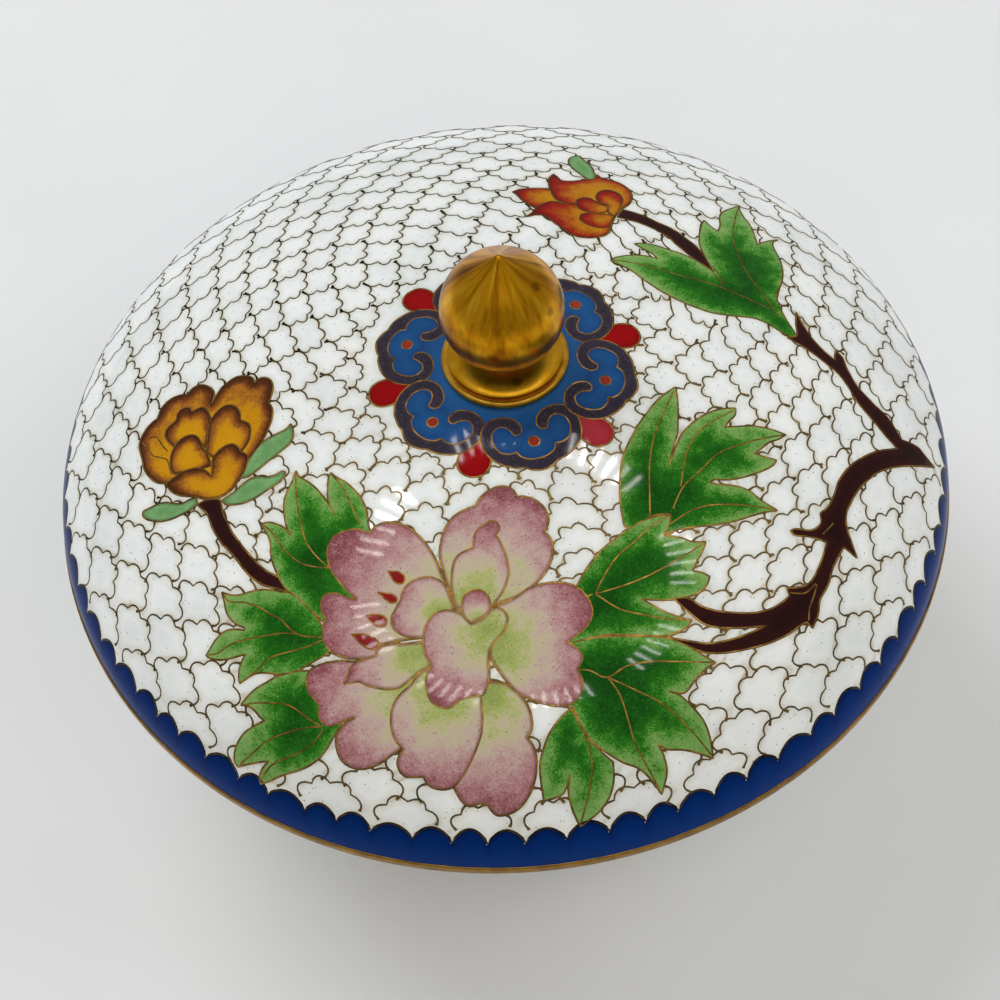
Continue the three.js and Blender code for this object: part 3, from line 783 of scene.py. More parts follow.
pictureVeins = [
    ("leafUpperLeft", [
        (-29.3, -36.5), (-31.5, -33.8), (-32.9, -31.3), (-33.6, -28.4), (-34, -25.2),
        (-34.3, -21.6), (-34.3, -18.5)
    ]),
    ("leafUpperLeft", [
        (-29.3, -36.5), (-31.8, -35.8), (-34, -34.7), (-36.2, -32.4), (-37.6, -30.2),
        (-38.8, -28.1), (-40.2, -26.7)
    ]),
    ("leafUpperLeft", [
        (-24.1, -29.8), (-25, -27), (-25.7, -24.8), (-26.8, -22.3), (-28.3, -20)
    ]),
    ("leafLeft", [
        (-30.8, -47.6), (-33.6, -46.9), (-34.9, -46.3), (-36.1, -45.2), (-37.5, -43.4),
        (-39, -42.4), (-40.5, -41.1), (-41.9, -40.2), (-43.4, -39.4), (-44.6, -39.1),
        (-46.1, -38.5), (-47, -37.1)
    ]),
    ("leafLeft", [
        (-34.9, -46.3), (-37.3, -45.7), (-39.7, -45.5), (-42.2, -45.4), (-44.6, -45.4),
        (-46.3, -45.6), (-48.3, -46.3), (-49.8, -46.1)
    ]),
    ("leafLeft", [
        (-30.8, -48), (-33.6, -48.6), (-36.6, -48.8), (-38.5, -48.9), (-40, -49.2),
        (-41.2, -50.1), (-42.9, -51), (-44.5, -51.6)
    ]),
    ("leafLowerLeft", [
        (-31.7, -60.7), (-33.6, -59.3), (-35.3, -57.8), (-36.8, -56.7), (-38.5, -56),
        (-40.5, -55.5), (-42.4, -55.1), (-44.4, -54.9)
    ]),
    ("leafLowerLeft", [
        (-31.7, -60.7), (-33.6, -60.4), (-36.1, -60.3), (-38.5, -60.4), (-40.9, -60.7),
        (-42.9, -61.4), (-44.4, -61.8), (-45.9, -62.2)
    ]),
    ("leafLowerLeft", [
        (-31.4, -61), (-32.7, -62.2), (-34.1, -62.9), (-35.6, -63.4), (-37.3, -63.5),
        (-39.5, -63.7), (-40.9, -64), (-42.4, -64.9)
    ]),
    ("leafUpperRight", [
        (22.9, -32.7), (23.3, -28.2), (23.8, -23.3), (24.8, -18.9), (26.5, -14.6), (29.4, -8.7)
    ]),
    ("leafUpperRight", [
        (28.5, -27.2), (29.2, -24.3), (30.4, -20.4), (32.4, -17), (35.3, -14.6), (39.2, -12.1)
    ]),
    ("leafUpperRight", [
        (26.8, -31.1), (28.9, -27.2), (32.4, -23.8), (35.3, -20.9), (39.2, -18.9),
        (43.1, -17.5), (47, -16.4)
    ]),
    ("leafUpperRight", [
        (26.1, -33.8), (29.4, -31.6), (32.8, -30.4), (37.2, -30.1), (41.1, -30.3), (43.6, -30.7)
    ]),
    ("leafUpperRight", [
        (22.4, -32.7), (24.6, -32.1), (26.3, -32.2), (25.8, -33.8), (24.7, -35.8),
        (23.2, -37.4), (25.1, -36), (26.5, -35.1)
    ]),
    ("leafRight", [
        (12.9, -45.3), (14.3, -42.8), (16.8, -39.4), (19.7, -37), (22.6, -34.5), (25.9, -32.3)
    ]),
    ("leafRight", [
        (12.9, -45.3), (17.7, -44), (22.1, -42.3), (26.5, -39.9), (31.1, -37.1)
    ]),
    ("leafRight", [
        (12.9, -45.3), (16.3, -47.7), (19.7, -48.7), (23.6, -49.4), (27.4, -49.7)
    ]),
    ("leafRight", [
        (12.4, -45.3), (10.9, -46)
    ]),
    ("leafLowerRight", [
        (9, -56.9), (10.9, -57.1), (13.5, -58.2), (16.8, -56.6), (20.7, -56), (25.1, -56),
        (30.4, -56)
    ]),
    ("leafLowerRight", [
        (13.6, -58.2), (17.7, -60.1), (22.1, -62.3), (26, -65.7), (28.9, -68.6)
    ]),
    ("leafLowerRight", [
        (13.6, -58.2), (15.3, -60.8), (16.3, -64.7), (17.3, -68.2), (20.4, -73.3)
    ]),
    ("leafBottom", [
        (7.8, -63.1), (9.3, -66.2), (10, -68.8), (9.8, -71.8), (8.9, -74.4), (7.6, -77)
    ]),
    ("leafTwin", [
        (50.3, 9.5), (48.2, 14.4), (46.1, 19.7), (45, 24.7), (44.8, 29.6), (45.9, 35.3),
        (47.4, 40.2)
    ]),
    ("leafTwin", [
        (48.7, 11.3), (43.8, 14.1), (38.5, 16.6), (33.2, 18.3), (27.9, 20.3), (24, 21.4),
        (22.1, 21.6)
    ]),
    ("leafTwin", [
        (39.7, 21.1), (41.3, 17.6), (41, 16.6), (39.7, 19.2)
    ]),
    ("budOuter", [
        (-60.5, -3.9), (-59.4, -3.9), (-58.6, -4.9), (-57.8, -6.5), (-56.9, -7.9)
    ]),
    ("budOuter", [
        (-61.7, -4.2), (-61, -5.4), (-60.2, -6.7), (-59.5, -7.9), (-58.2, -8.7), (-57, -9.6),
        (-56.5, -11.1), (-56.1, -12.8)
    ]),
    ("branch", [
        (48.8, -42.6), (46.8, -44.3), (44.3, -44.5)
    ]),
    ("branch", [
        (49, -42.7), (48.2, -44.7), (47.3, -46.6), (46.9, -48.5)
    ]),
    ("branch", [
        (53.3, -31.9), (52.2, -33.1), (51.2, -34.1)
    ]),
]

print("Inlay outlines")
inlay = dict(
    wire=0.48,            # width of the outline wires
    wireProud=0.08,
    grid=0.9,             # spacing of the points inside a shape
    rowShare=0.866,       # of that, between two rows
    lift=0.025,           # of the coloured enamel above the white ground
)
shapes = [dict(s, outline=smoothLine(s["outline"])) for s in pictureShapes] + collarShapes()
outlines = [boxed(s["outline"]) for s in shapes]


def inlayLines():
    lines = []
    for i, shape in enumerate(shapes):
        if not shape.get("bare"):
            lines += cutAway(shape["outline"], outlines[i + 1:], True)
    order = [s["name"] for s in shapes]
    for name, points in pictureVeins:
        lines += cutAway(smoothLine(points, closed=False), outlines[order.index(name) + 1:], False)
    return lines


inlayRuns = [fromPlan(domeSlope, line) + (closed,) for line, closed in inlayLines()]


def edgeGaps(spots, edge):
    # how far each plan point is from a closed outline
    after = np.roll(edge, -1, 0) - edge
    away = spots[:, None] - edge[None]
    part = np.clip((away * after[None]).sum(2) / ((after ** 2).sum(1) + 1e-12), 0, 1)
    return np.sqrt(((away - part[..., None] * after[None]) ** 2).sum(2)).min(1)


def inlayMesh():
    # One flat map of all the shapes, cut where they meet; each triangle goes
    # to the shape on top, then the map is laid on the dome
    points, rings = [], []
    for shape in shapes:
        outline = [tuple(p[:2]) for p in shape["outline"]]
        rings.append(list(range(len(points), len(points) + len(outline))))
        points += outline
    low, high, step = np.min(points, 0), np.max(points, 0), inlay["grid"]
    gridX, gridY = np.meshgrid(np.arange(low[0], high[0], step),
                               np.arange(low[1], high[1], step * inlay["rowShare"]))
    gridX[::2] += step / 2
    spare = np.stack([gridX.ravel(), gridY.ravel()], -1)
    points += [tuple(p) for p in spare[underAny(spare, outlines)]]
    flat, _, faces, *_ = delaunay_2d_cdt([Vector(p) for p in points], [], rings, 1, 1e-5)
    flat, faces = np.array([tuple(p) for p in flat]), np.array([tuple(f) for f in faces])
    centres = flat[faces].mean(1)
    owners = np.full(len(faces), -1)
    for i, outline in enumerate(outlines):
        owners[insideOf(centres, outline)] = i
    where, triangles, kinds = {}, [], []      # each shape has points of its own
    for face, top in zip(faces.tolist(), owners.tolist()):
        if top >= 0:
            triangles.append([where.setdefault((top, v), len(where)) for v in face])
            kinds.append(shapes[top]["enamel"])
    owner, source = np.array(list(where)).T
    spot = flat[source]
    edgeGap, reachOut = np.zeros(len(spot)), np.zeros(len(spot))
    for i, shape in enumerate(shapes):
        mine = np.nonzero(owner == i)[0]
        if not len(mine):
            continue
        edge = np.array(shape["outline"])
        edgeGap[mine] = edgeGaps(spot[mine], edge)
        if "base" in shape:
            far = np.hypot(*(spot[mine] - shape["base"]).T)
            reachOut[mine] = far / shape.get("reach", np.hypot(*(edge - shape["base"]).T).max())
    angle, run = fromPlan(domeSlope, spot)
    piece = meshPiece("lidInlay", layOn(domeSlope, angle, run, inlay["lift"]), triangles,
                      dict(edgeGap=edgeGap, reachOut=reachOut))
    return piece, kinds


lidInlay, inlayKinds = inlayMesh()
inlayNames = sorted(set(inlayKinds))
print("  inlay triangles", len(lidInlay.data.polygons), "kinds", inlayNames)

print("White ground and its scale wires")
scales = dict(
    # where each ring of arches has its crests, along the dome
    crests=[22.6, 25.6, 30.6, 35.4, 39.9, 43.7, 47.4, 51.1, 54.9, 58.6, 62.4, 66.2, 70.1, 74.1,
            78.2, 82.4],
    # degrees that one arch takes, by the distance along the dome
    pitchAt=[(22, 14.6), (25.3, 14.3), (30.6, 13.8), (35.4, 12.4), (40, 11.4), (44, 10.9),
             (47, 10.6), (52, 10.35), (60, 10.15), (70, 10.1), (90, 10.0)],
    fanAt=130,            # degrees where the columns run straight out
    spans=(142, 218),     # from there to the other such place, both ways round
    seams=(105, 135),     # how far off the columns are evened out, under
    seamWide=34,          # the leaves and the flower
    slantEnds=(30, 50),   # the long way round, where they begin to slant less, and over how much
    farAt=(56, 74),       # where the arches turn from wide to narrow
    shadeAt=125,           # painted shade, darkest on the wires at the back left
    wire=0.38,
    wireProud=0.07,
    swell=0.75,           # of a wire's soldered ends
    crestJitter=0.2,
    edgeJitter=0.02,
    lobe=(0.56, 0.7),     # how full and how square a lobe is
    steps=6,              # points of a lobe
    seed=7,
)
pitchTable = list(zip(*scales["pitchAt"]))
# An arch from one foot to the other: cusps with a pull point between them,
# as shares of its pitch and of the way to the next ring
nearArch = [(-0.47, 0.94), (-0.57, 0.5), (-0.28, 0.4), (-0.27, -0.14), (0.0, 0.12),
            (0.26, -0.14), (0.28, 0.4), (0.57, 0.5), (0.47, 0.94)]
farArch = [(-0.34, 1.1), (-0.5, 0.55), (-0.26, 0.38), (-0.22, -0.2), (-0.01, 0.12),
           (0.21, -0.2), (0.26, 0.36), (0.5, 0.55), (0.34, 1.1)]


def archesEachWay(ring):
    # whole arches between the two places where the columns run straight
    pitch = np.interp(scales["crests"][ring], *pitchTable)
    return [round(span / pitch) for span in scales["spans"]]


def eased(gap, part):
    # a gap taken up gently by a part that goes from 0 to 1
    return gap * part * part * (3 - 2 * part)


def lidColumns(ring, column, run):
    # The angle of a column of arches at a distance along the dome. Each way
    # round it is counted from the fan, what is left over is taken up in the
    # seam, and on the long way the columns stand upright in the middle.
    pitch, ringPitch = np.interp(run, *pitchTable), np.interp(scales["crests"][ring], *pitchTable)
    start, wide = scales["slantEnds"]
    turn = 0
    ways = zip((-1, 1), scales["spans"], scales["seams"], archesEachWay(ring))
    for way, span, seam, whole in ways:
        count = np.maximum(way * column, 0)
        inside = np.minimum(count, whole - count) * ringPitch - start
        own = pitch + eased(ringPitch - pitch, np.clip(inside / wide, 0, 1) * (way > 0))
        share = np.clip((count * own - seam) / scales["seamWide"] + 0.5, 0, 1)
        turn = turn + way * (count * own + eased(span - whole * own, share))
    return np.radians(scales["fanAt"] + turn)


def archLine(middle, crest, rise, farShare, dice):
    # one arch as points of (column, length along the outline)
    full, square = scales["lobe"]
    points, line = [], []
    for near, far in zip(nearArch, farArch):
        shift = np.array((dice.uniform(-1, 1), dice.uniform(-1.5, 1.5))) * scales["edgeJitter"]
        points.append(np.array(near) * (1 - farShare) + np.array(far) * farShare + shift)
    for a, pull, b in zip(points[:-2:2], points[1:-1:2], points[2::2]):
        for t in np.arange(scales["steps"]) / scales["steps"]:
            out = full * math.sin(math.pi * t) ** square
            line.append(a * (1 - t) + b * t + (pull - (a + b) / 2) * out)
    line = np.array(line + [points[-1]])
    return middle + line[:, 0], crest + line[:, 1] * rise


def scaleRuns(hold, columns, eachWay, crests, farAt, seed):
    # columns turns a column into an angle; hold gives the parts to keep
    dice = random.Random(seed)
    runs = []
    for ring, (crest, feet) in enumerate(zip(crests, crests[1:])):
        farShare = min(max((crest - farAt[0]) / (farAt[1] - farAt[0]), 0), 1)
        slow, quick, _ = [dice.uniform(0, 6.28) for _ in range(3)]
        back, on = eachWay(ring)
        for k in range(-back, on):
            middle = k + 0.5 * ((ring + 1) % 2)
            at = float(columns(ring, middle, crest))
            sway = 0.25 * math.sin(2 * at + slow) + 0.2 * math.sin(5 * at + quick)
            top = crest + scales["crestJitter"] * (sway + dice.uniform(-0.6, 0.6))
            column, run = archLine(middle, top, feet - crest, farShare, dice)
            runs += hold(columns(ring, column, run), run)
    return runs


border = dict(
    count=80,             # blue scallops round the rim
    tip=82.7,             # their round ends, along the dome
    cusp=85.2,            # where two meet
    bottom=91.7,          # under the brass rim
    turn=-0.1,
    wire=0.58,
    tipJitter=0.3,
    endJitter=0.09,
    square=0.72,          # the less, the squarer a scallop
    steps=12,             # points of a scallop
    rows=6,
    lift=0.03,
    seed=11,
)


def scallopEdge(border):
    # the scalloped edge of a band as (angle, length along the outline)
    dice = random.Random(border["seed"])
    count, steps, reach = border["count"], border["steps"], border["endJitter"]
    ends = [dice.uniform(-reach, reach) for _ in range(count)]
    angle, run = [], []
    for k in range(count):
        left, right = k + ends[k], k + 1 + ends[(k + 1) % count]
        tip = border["tip"] + dice.uniform(-1, 1) * border["tipJitter"]
        for u in (s / steps for s in range(steps)):
            angle.append((left + (right - left) * u + border["turn"]) * 2 * math.pi / count)
            out = math.sin(math.pi * u) ** border["square"]
            run.append(border["cusp"] + (tip - border["cusp"]) * out)
    return np.array(angle), np.array(run)


def scallopBand(name, slope, border):
    # a band of blue enamel, with its scalloped edge
    angle, edge = scallopEdge(border)
    verts, gaps, faces, count, rows = [], [], [], len(angle), border["rows"]
    for row in range(rows + 1):
        run = edge + (border["bottom"] - edge) * row / rows
        verts.append(layOn(slope, angle, run, border["lift"]))
        gaps.append(np.abs(run - edge))
    flip = 1 if border["bottom"] > border["tip"] else -1
    for row in range(rows):
        for i in range(count):
            a, b = row * count + i, row * count + (i + 1) % count
            faces.append((a, a + count, b + count, b)[::flip])
    piece = meshPiece(name, np.concatenate(verts), faces, dict(edgeGap=np.concatenate(gaps)))
    return piece, (angle, edge)


lidBorder, borderEdge = scallopBand("lidBorder", domeSlope, border)


def keepOffInlay(angle, run):
    # the parts of an arch that no coloured shape covers
    radius = alongSlope(domeSlope, run, "radius")[0]
    line = np.stack([radius * np.cos(angle), radius * np.sin(angle)], -1)
    return [fromPlan(domeSlope, part) + (False,) for part, _ in cutAway(line, outlines, False)]


def keepOffBoth(angle, run, over=0.05):
    # an arch ends where the blue scallops begin, just under their wire
    shown = run < np.interp(angle, *borderEdge, period=2 * math.pi) + over
    changes = np.flatnonzero(np.diff(np.concatenate([[0], shown, [0]])))
    return [kept for begin, end in changes.reshape(-1, 2) if end - begin > 1
            for kept in keepOffInlay(angle[begin:end], run[begin:end])]


groundRuns = scaleRuns(keepOffBoth, lidColumns, archesEachWay, scales["crests"], scales["farAt"],
                       scales["seed"])
borderRuns = [borderEdge + (True,)]
lidScaleWires = wireStrips("lidScaleWires", domeSlope, groundRuns, scales["wire"],
                           scales["wireProud"], scales["swell"], scales["shadeAt"])
lidBorderWire = wireStrips("lidBorderWire", domeSlope, borderRuns, border["wire"],
                           scales["wireProud"])
lidInlayWires = wireStrips("lidInlayWires", domeSlope, inlayRuns, inlay["wire"], inlay["wireProud"])
print("  ground wires", len(groundRuns), "faces", len(lidScaleWires.data.polygons),
      "inlay wires", len(inlayRuns), "faces", len(lidInlayWires.data.polygons))


def lidOutline():
    # Outside from the top to the brass rim, then the inside back up
    bottom, (outRows, inRows) = dome["shellBottom"] + stack["lidEdge"], dome["rows"]
    inner = makeSlope(*domeOutline(dome["radius"] - dome["wall"], dome["height"] - dome["wall"],
                                   dome["points"][1]))
    outside = np.linspace(dome["crown"][0], runAtHeight(domeSlope, bottom), outRows)
    inside = np.linspace(runAtHeight(inner, bottom), dome["crown"][1], inRows)
    line = outlinePoints(domeSlope, outside) + outlinePoints(inner, inside)
    return [(0, line[0][1])] + line + [(0, line[-1][1])]


lidShell = roundPiece("lidShell", lidOutline(), dome["steps"])
wireGapOn(lidShell, domeSlope, groundRuns + inlayRuns + borderRuns)

print("Brass rims and foot")
rims = dict(
    lidRadius=80,
    lidRimWidth=2.6,
    lidRimHeight=1.8,
    mouthRadius=78.6,
    collarOuter=76.8,
    collarInner=75.4,
    collarHeight=4.2,
    soft=0.4,
    steps=240,
)
lidRimInner = rims["lidRadius"] - rims["lidRimWidth"]
lidRimTop = stack["lidEdge"] + rims["lidRimHeight"]
lidRim = roundPiece("lidRim", softened([
    (lidRimInner, stack["lidEdge"]),
    (rims["lidRadius"], stack["lidEdge"]),
    (rims["lidRadius"], lidRimTop),
    (lidRimInner, lidRimTop),
], rims["soft"]), rims["steps"])
bowlRim = roundPiece("bowlRim", softened([
    (rims["collarInner"], stack["mouthBottom"]),
    (rims["mouthRadius"], stack["mouthBottom"]),
    (rims["mouthRadius"], stack["mouthTop"]),
    (rims["collarOuter"], stack["mouthTop"]),
    (rims["collarOuter"], stack["mouthTop"] + rims["collarHeight"]),
    (rims["collarInner"], stack["mouthTop"] + rims["collarHeight"]),
], rims["soft"]), rims["steps"])
foot = dict(
    radius=41.5,
    beadHeight=1.17,      # upright part at the table
    bevel=(1.1, 3.24),    # how far in and how high the slope above it ends
    topInset=1.3,
    wall=3.3,
    soft=0.5,
    softSteps=4,
    steps=160,
)
footRing = roundPiece("footRing", softened([
    (foot["radius"] - foot["wall"], 0),
    (foot["radius"], 0),
    (foot["radius"], foot["beadHeight"]),
    (foot["radius"] - foot["bevel"][0], foot["bevel"][1]),
    (foot["radius"] - foot["topInset"], stack["footHeight"]),
    (foot["radius"] - foot["wall"], stack["footHeight"]),
], foot["soft"], foot["softSteps"]), foot["steps"])

print("Bowl")
bowl = dict(
    floorRadius=41,
    floorRings=(0, 20, 32),
    mouthRadius=78.2,
    wall=1.8,
    steps=240,
    # share of the way out and share of the way up, from floor to mouth
    curve=[(0, 0), (0.121, 0.047), (0.309, 0.156), (0.497, 0.305), (0.659, 0.464),
           (0.788, 0.623), (0.892, 0.787), (0.965, 0.921), (1, 1)],
    arches=35,
    archRise=4.1,
    archTurn=0.1,         # of an arch, round the bowl
    crestsPast=(3.2, 6),  # how far past the scallops' tips the rings of crests go
    underBands=(1.2, 0.9),  # how far the arches run in under the scallops
    farAt=(90, 99),       # beyond the side: all its arches are of the wide kind
    wire=0.42,
    wireProud=0.07,
    seed=23,
)


def bowlSide(floorRadius, mouthRadius, floorHeight):
    pairs = smoothLine(bowl["curve"], closed=False, steps=8)
    return [(floorRadius + (mouthRadius - floorRadius) * out,
             floorHeight + (stack["bowlTop"] - floorHeight) * up) for out, up in pairs]


floorTop = stack["bowlBottom"] + bowl["wall"]
outerSide = bowlSide(bowl["floorRadius"], bowl["mouthRadius"], stack["bowlBottom"])
innerSide = bowlSide(bowl["floorRadius"] - bowl["wall"] / 3, bowl["mouthRadius"] - bowl["wall"],
                     floorTop)
bowlShell = roundPiece("bowlShell", (
    [(radius, stack["bowlBottom"]) for radius in bowl["floorRings"]]
    + outerSide + innerSide[::-1]
    + [(radius, floorTop) for radius in bowl["floorRings"][::-1]]), bowl["steps"])

# The bowl's side is measured from the mouth down, so arches open downwards
bowlSlope = makeSlope(*zip(*outerSide[::-1]))
sideLength = float(bowlSlope["run"][-1])
mouthBand = dict(border, count=80, tip=6.4, cusp=3.4, bottom=0.15, turn=0.2)
footBand = dict(border, count=48, tip=sideLength - 5.6, cusp=sideLength - 2.9,
                bottom=sideLength - 0.2, turn=0.0)
bowlMouthBand, mouthEdge = scallopBand("bowlMouthBand", bowlSlope, mouthBand)
bowlFootBand, footEdge = scallopBand("bowlFootBand", bowlSlope, footBand)


def keepOnSide(angle, run):
    under, over = bowl["underBands"]
    shown = (run > mouthBand["tip"] - under) & (run < footBand["tip"] + over)
    return [(angle[shown], run[shown], False)] if shown.sum() > 2 else []


def bowlColumns(ring, column, run):
    return 2 * math.pi / bowl["arches"] * (column + bowl["archTurn"] + 0 * run)


def bowlArches(ring):
    return 0, bowl["arches"]


bowlCrests = list(np.arange(mouthBand["tip"] - bowl["crestsPast"][0],
                            footBand["tip"] + bowl["crestsPast"][1], bowl["archRise"]))
bowlRuns = scaleRuns(keepOnSide, bowlColumns, bowlArches, bowlCrests, bowl["farAt"], bowl["seed"])
bowlRuns += [mouthEdge + (True,), footEdge + (True,)]
bowlWires = wireStrips("bowlWires", bowlSlope, bowlRuns, bowl["wire"], bowl["wireProud"])
wireGapOn(bowlShell, bowlSlope, bowlRuns)

print("Knob")
knob = dict(
    plateUnder=(3.6, 5.5, 7.5, 9.2, 10.8),    # radii from the hole to the edge
    plateLift=0.3,        # of its underside above the dome
    plateEdge=1.0,
    # radius, and height beside the plate's top, from the edge to the hole
    plateOver=[(10.8, -0.42), (10.74, -0.2), (10.58, -0.05), (10.35, 0), (9.9, 0.01), (9.6, 0),
               (9.4, -0.04), (3.6, -0.04)],
    skirtLift=0.3,        # of the skirt's edge above the plate
    skirtUnder=[(0, -0.22), (9.2, -0.22), (9.42, -0.15)],
    skirtRadius=9.6,
    skirtHeight=1.65,
    # share of the way in to the neck, and of the way up
    skirtLine=[(0, 0), (-0.02, 0.21), (0.1, 0.42), (0.31, 0.6), (0.6, 0.79), (0.88, 1)],
    neckRadius=4.8,
    neckLift=2.07,
    ballRadius=10.35,
    ballRows=44,
    pointLift=13,         # of the sharp cone's point above the ball's middle
    # the cone runs straight to a point that years of use have rounded
    worn=[(0.75, -0.62), (0.5, -0.4), (0.25, -0.27), (0, -0.22)],
    steps=128,
)


def raised(points, height):
    return [(radius, height + up) for radius, up in points]


def knobOutlines():
    # the plate's and the knob's outlines, and the height of the skirt's edge
    shift = math.hypot(*knobSpot)
    under = [(r, float(np.interp(max(r - shift, 0), domeSlope["radius"], domeSlope["height"]))
              + knob["plateLift"]) for r in knob["plateUnder"]]
    plateTop = under[-1][1] + knob["plateEdge"]
    skirtUp = plateTop + knob["skirtLift"]
    narrowing = knob["skirtRadius"] - knob["neckRadius"]
    skirt = smoothLine([(knob["skirtRadius"] - narrowing * a, skirtUp + knob["skirtHeight"] * b)
                        for a, b in knob["skirtLine"]], closed=False, steps=5)
    ballRadius = knob["ballRadius"]
    neckAngle = -math.acos(knob["neckRadius"] / ballRadius)
    ballUp = skirtUp + knob["neckLift"] - ballRadius * math.sin(neckAngle)
    coneAngle = math.asin(ballRadius / knob["pointLift"])
    ball = [(ballRadius * math.cos(a), ballUp + ballRadius * math.sin(a))
            for a in np.linspace(neckAngle, coneAngle, knob["ballRows"])]
    tip = raised(knob["worn"], ballUp + knob["pointLift"])
    cone = [tuple(np.array(ball[-1]) * (1 - t) + np.array(tip[0]) * t)
            for t in (0.2, 0.4, 0.6, 0.8)]
    return (under + raised(knob["plateOver"], plateTop) + under[:1],
            raised(knob["skirtUnder"], skirtUp) + skirt + ball + cone + tip, skirtUp)


plateLine, knobLine, skirtUp = knobOutlines()
knobPlate = roundPiece("knobPlate", plateLine, knob["steps"], knobSpot)
knobTurned = roundPiece("knobTurned", knobLine, knob["steps"], knobSpot)

print("Finishes")


def enamelBump(tree, where):
    # polished enamel is never quite flat: broad dips and a fine orange peel
    broad = addNode(tree, "TexNoise", {"Vector": where, "Scale": 1 / (5 * mm), "Detail": 1})
    fine = addNode(tree, "TexNoise", {"Vector": where, "Scale": 1 / (0.7 * mm), "Detail": 2})
    height = addNode(tree, "Math", {0: fine, 1: 0.1, 2: broad}, operation="MULTIPLY_ADD")
    return addNode(tree, "Bump", {"Strength": 0.5, "Distance": 0.014 * mm, "Height": height})


def withPits(tree, where, colour, share, pit):
    # tiny dark pinholes, about one a square millimetre, left by bubbles
    cells = addNode(tree, "TexVoronoi", {"Vector": where, "Scale": 1 / (1.15 * mm)})
    inside = addNode(tree, "MapRange", {
        "Value": cells, "From Min": share * 0.6, "From Max": share,
        "To Min": 0.75, "To Max": 0}, interpolation_type="SMOOTHSTEP")
    return addNode(tree, "Mix", {0: inside, 6: colour, 7: pit}, gives=2, data_type="RGBA")


def whiteEnamel():
    # fired opaque white enamel, ground flush with the wires: milky, glossy,
    # a little grey and cloudy, warmer and dirtier beside each wire
    finish, tree = newFinish("whiteEnamel")
    where = addNode(tree, "TexCoord", gives="Object")
    gap = addNode(tree, "Attribute", gives="Fac", attribute_name="wireGap")
    clouds = addNode(tree, "TexNoise", {"Vector": where, "Scale": 1 / (9 * mm), "Detail": 3})
    milk = addNode(tree, "ValToRGB", {0: clouds}, [
        (0.3, "#EAEDEB"), (0.55, "#F4F6F4"), (0.75, "#F8F8F4")])
    fromWire = addNode(tree, "Math", {0: gap, 1: 1 / 2.2}, operation="MULTIPLY")
    cell = addNode(tree, "ValToRGB", {0: fromWire}, [
        (0, "#A99C80"), (0.1, "#D9D4C5"), (0.24, "#F1F1EC"), (0.6, "#FDFEFE"), (1, "#FAFCFC")])
    colour = addNode(tree, "Mix", {0: 1.0, 6: milk, 7: cell}, gives=2,
                     data_type="RGBA", blend_type="MULTIPLY")
    sand = addNode(tree, "TexNoise", {
        "Vector": where, "Scale": 1 / (0.45 * mm), "Detail": 3, "Roughness": 0.7})
    speck = addNode(tree, "MapRange", {
        "Value": sand, "From Min": 0.62, "From Max": 0.78, "To Max": 0.28})
    colour = addNode(tree, "Mix", {0: speck, 6: colour, 7: "#A9ADA8"}, gives=2, data_type="RGBA")
    return closeFinish(finish, {
        "Base Color": withPits(tree, where, colour, 0.12, "#4B4A42"),
        "Roughness": 0.05, "IOR": 1.5, "Normal": enamelBump(tree, where)})


def colouredEnamel(name, colours, byGap=0.2, byReach=0, byRim=0, start=0, mottle=0.35, patch=2.0,
                   pits=0.08, line=None, flecks=None, rough=0.045, shine=0.14):
    # Fired coloured enamel, wet-laid in grains of glass. Its shade is summed
    # from the millimetres to the nearest wire, the share of the way to a
    # petal's tip, the rim beside its wire, and grains that break it up.
    finish, tree = newFinish(name)
    where = addNode(tree, "TexCoord", gives="Object")
    gap = addNode(tree, "Attribute", gives="Fac", attribute_name="edgeGap")
    nearGap = addNode(tree, "Math", {0: gap, 1: 4.5}, operation="MINIMUM")
    reach = addNode(tree, "Attribute", gives="Fac", attribute_name="reachOut")
    rim = addNode(tree, "MapRange", {"Value": gap, "From Max": 2.4, "To Min": 1, "To Max": 0},
                  interpolation_type="SMOOTHSTEP")
    blotch = addNode(tree, "TexNoise", {
        "Vector": where, "Scale": 1 / (patch * mm), "Detail": 3, "Roughness": 0.65})
    salt = addNode(tree, "TexNoise", {
        "Vector": where, "Scale": 1 / (0.3 * mm), "Detail": 2, "Roughness": 0.7})
    shade = start - mottle
    for source, weight in ((nearGap, byGap), (reach, byReach), (rim, byRim),
                           (blotch, mottle), (salt, mottle)):
        if weight:
            shade = addNode(tree, "Math", {0: source, 1: weight, 2: shade},
                            operation="MULTIPLY_ADD")
    colour = addNode(tree, "ValToRGB", {0: shade}, colours)
    if line:
        beside = addNode(tree, "MapRange", {
            "Value": gap, "From Min": 0.15, "From Max": 0.6, "To Min": 0.7, "To Max": 0},
            interpolation_type="SMOOTHSTEP")
        colour = addNode(tree, "Mix", {0: beside, 6: colour, 7: line}, gives=2, data_type="RGBA")
    if flecks:
        bits = addNode(tree, "TexNoise", {
            "Vector": where, "Scale": 1 / (0.5 * mm), "Detail": 2, "Roughness": 0.8})
        some = addNode(tree, "MapRange", {
            "Value": bits, "From Min": 0.58, "From Max": 0.7, "To Max": 0.4})
        colour = addNode(tree, "Mix", {0: some, 6: colour, 7: flecks}, gives=2, data_type="RGBA")
    return closeFinish(finish, {
        "Base Color": withPits(tree, where, colour, pits, "#241F1C"), "Roughness": rough,
        "IOR": 1.5, "Specular IOR Level": shine, "Normal": enamelBump(tree, where)})


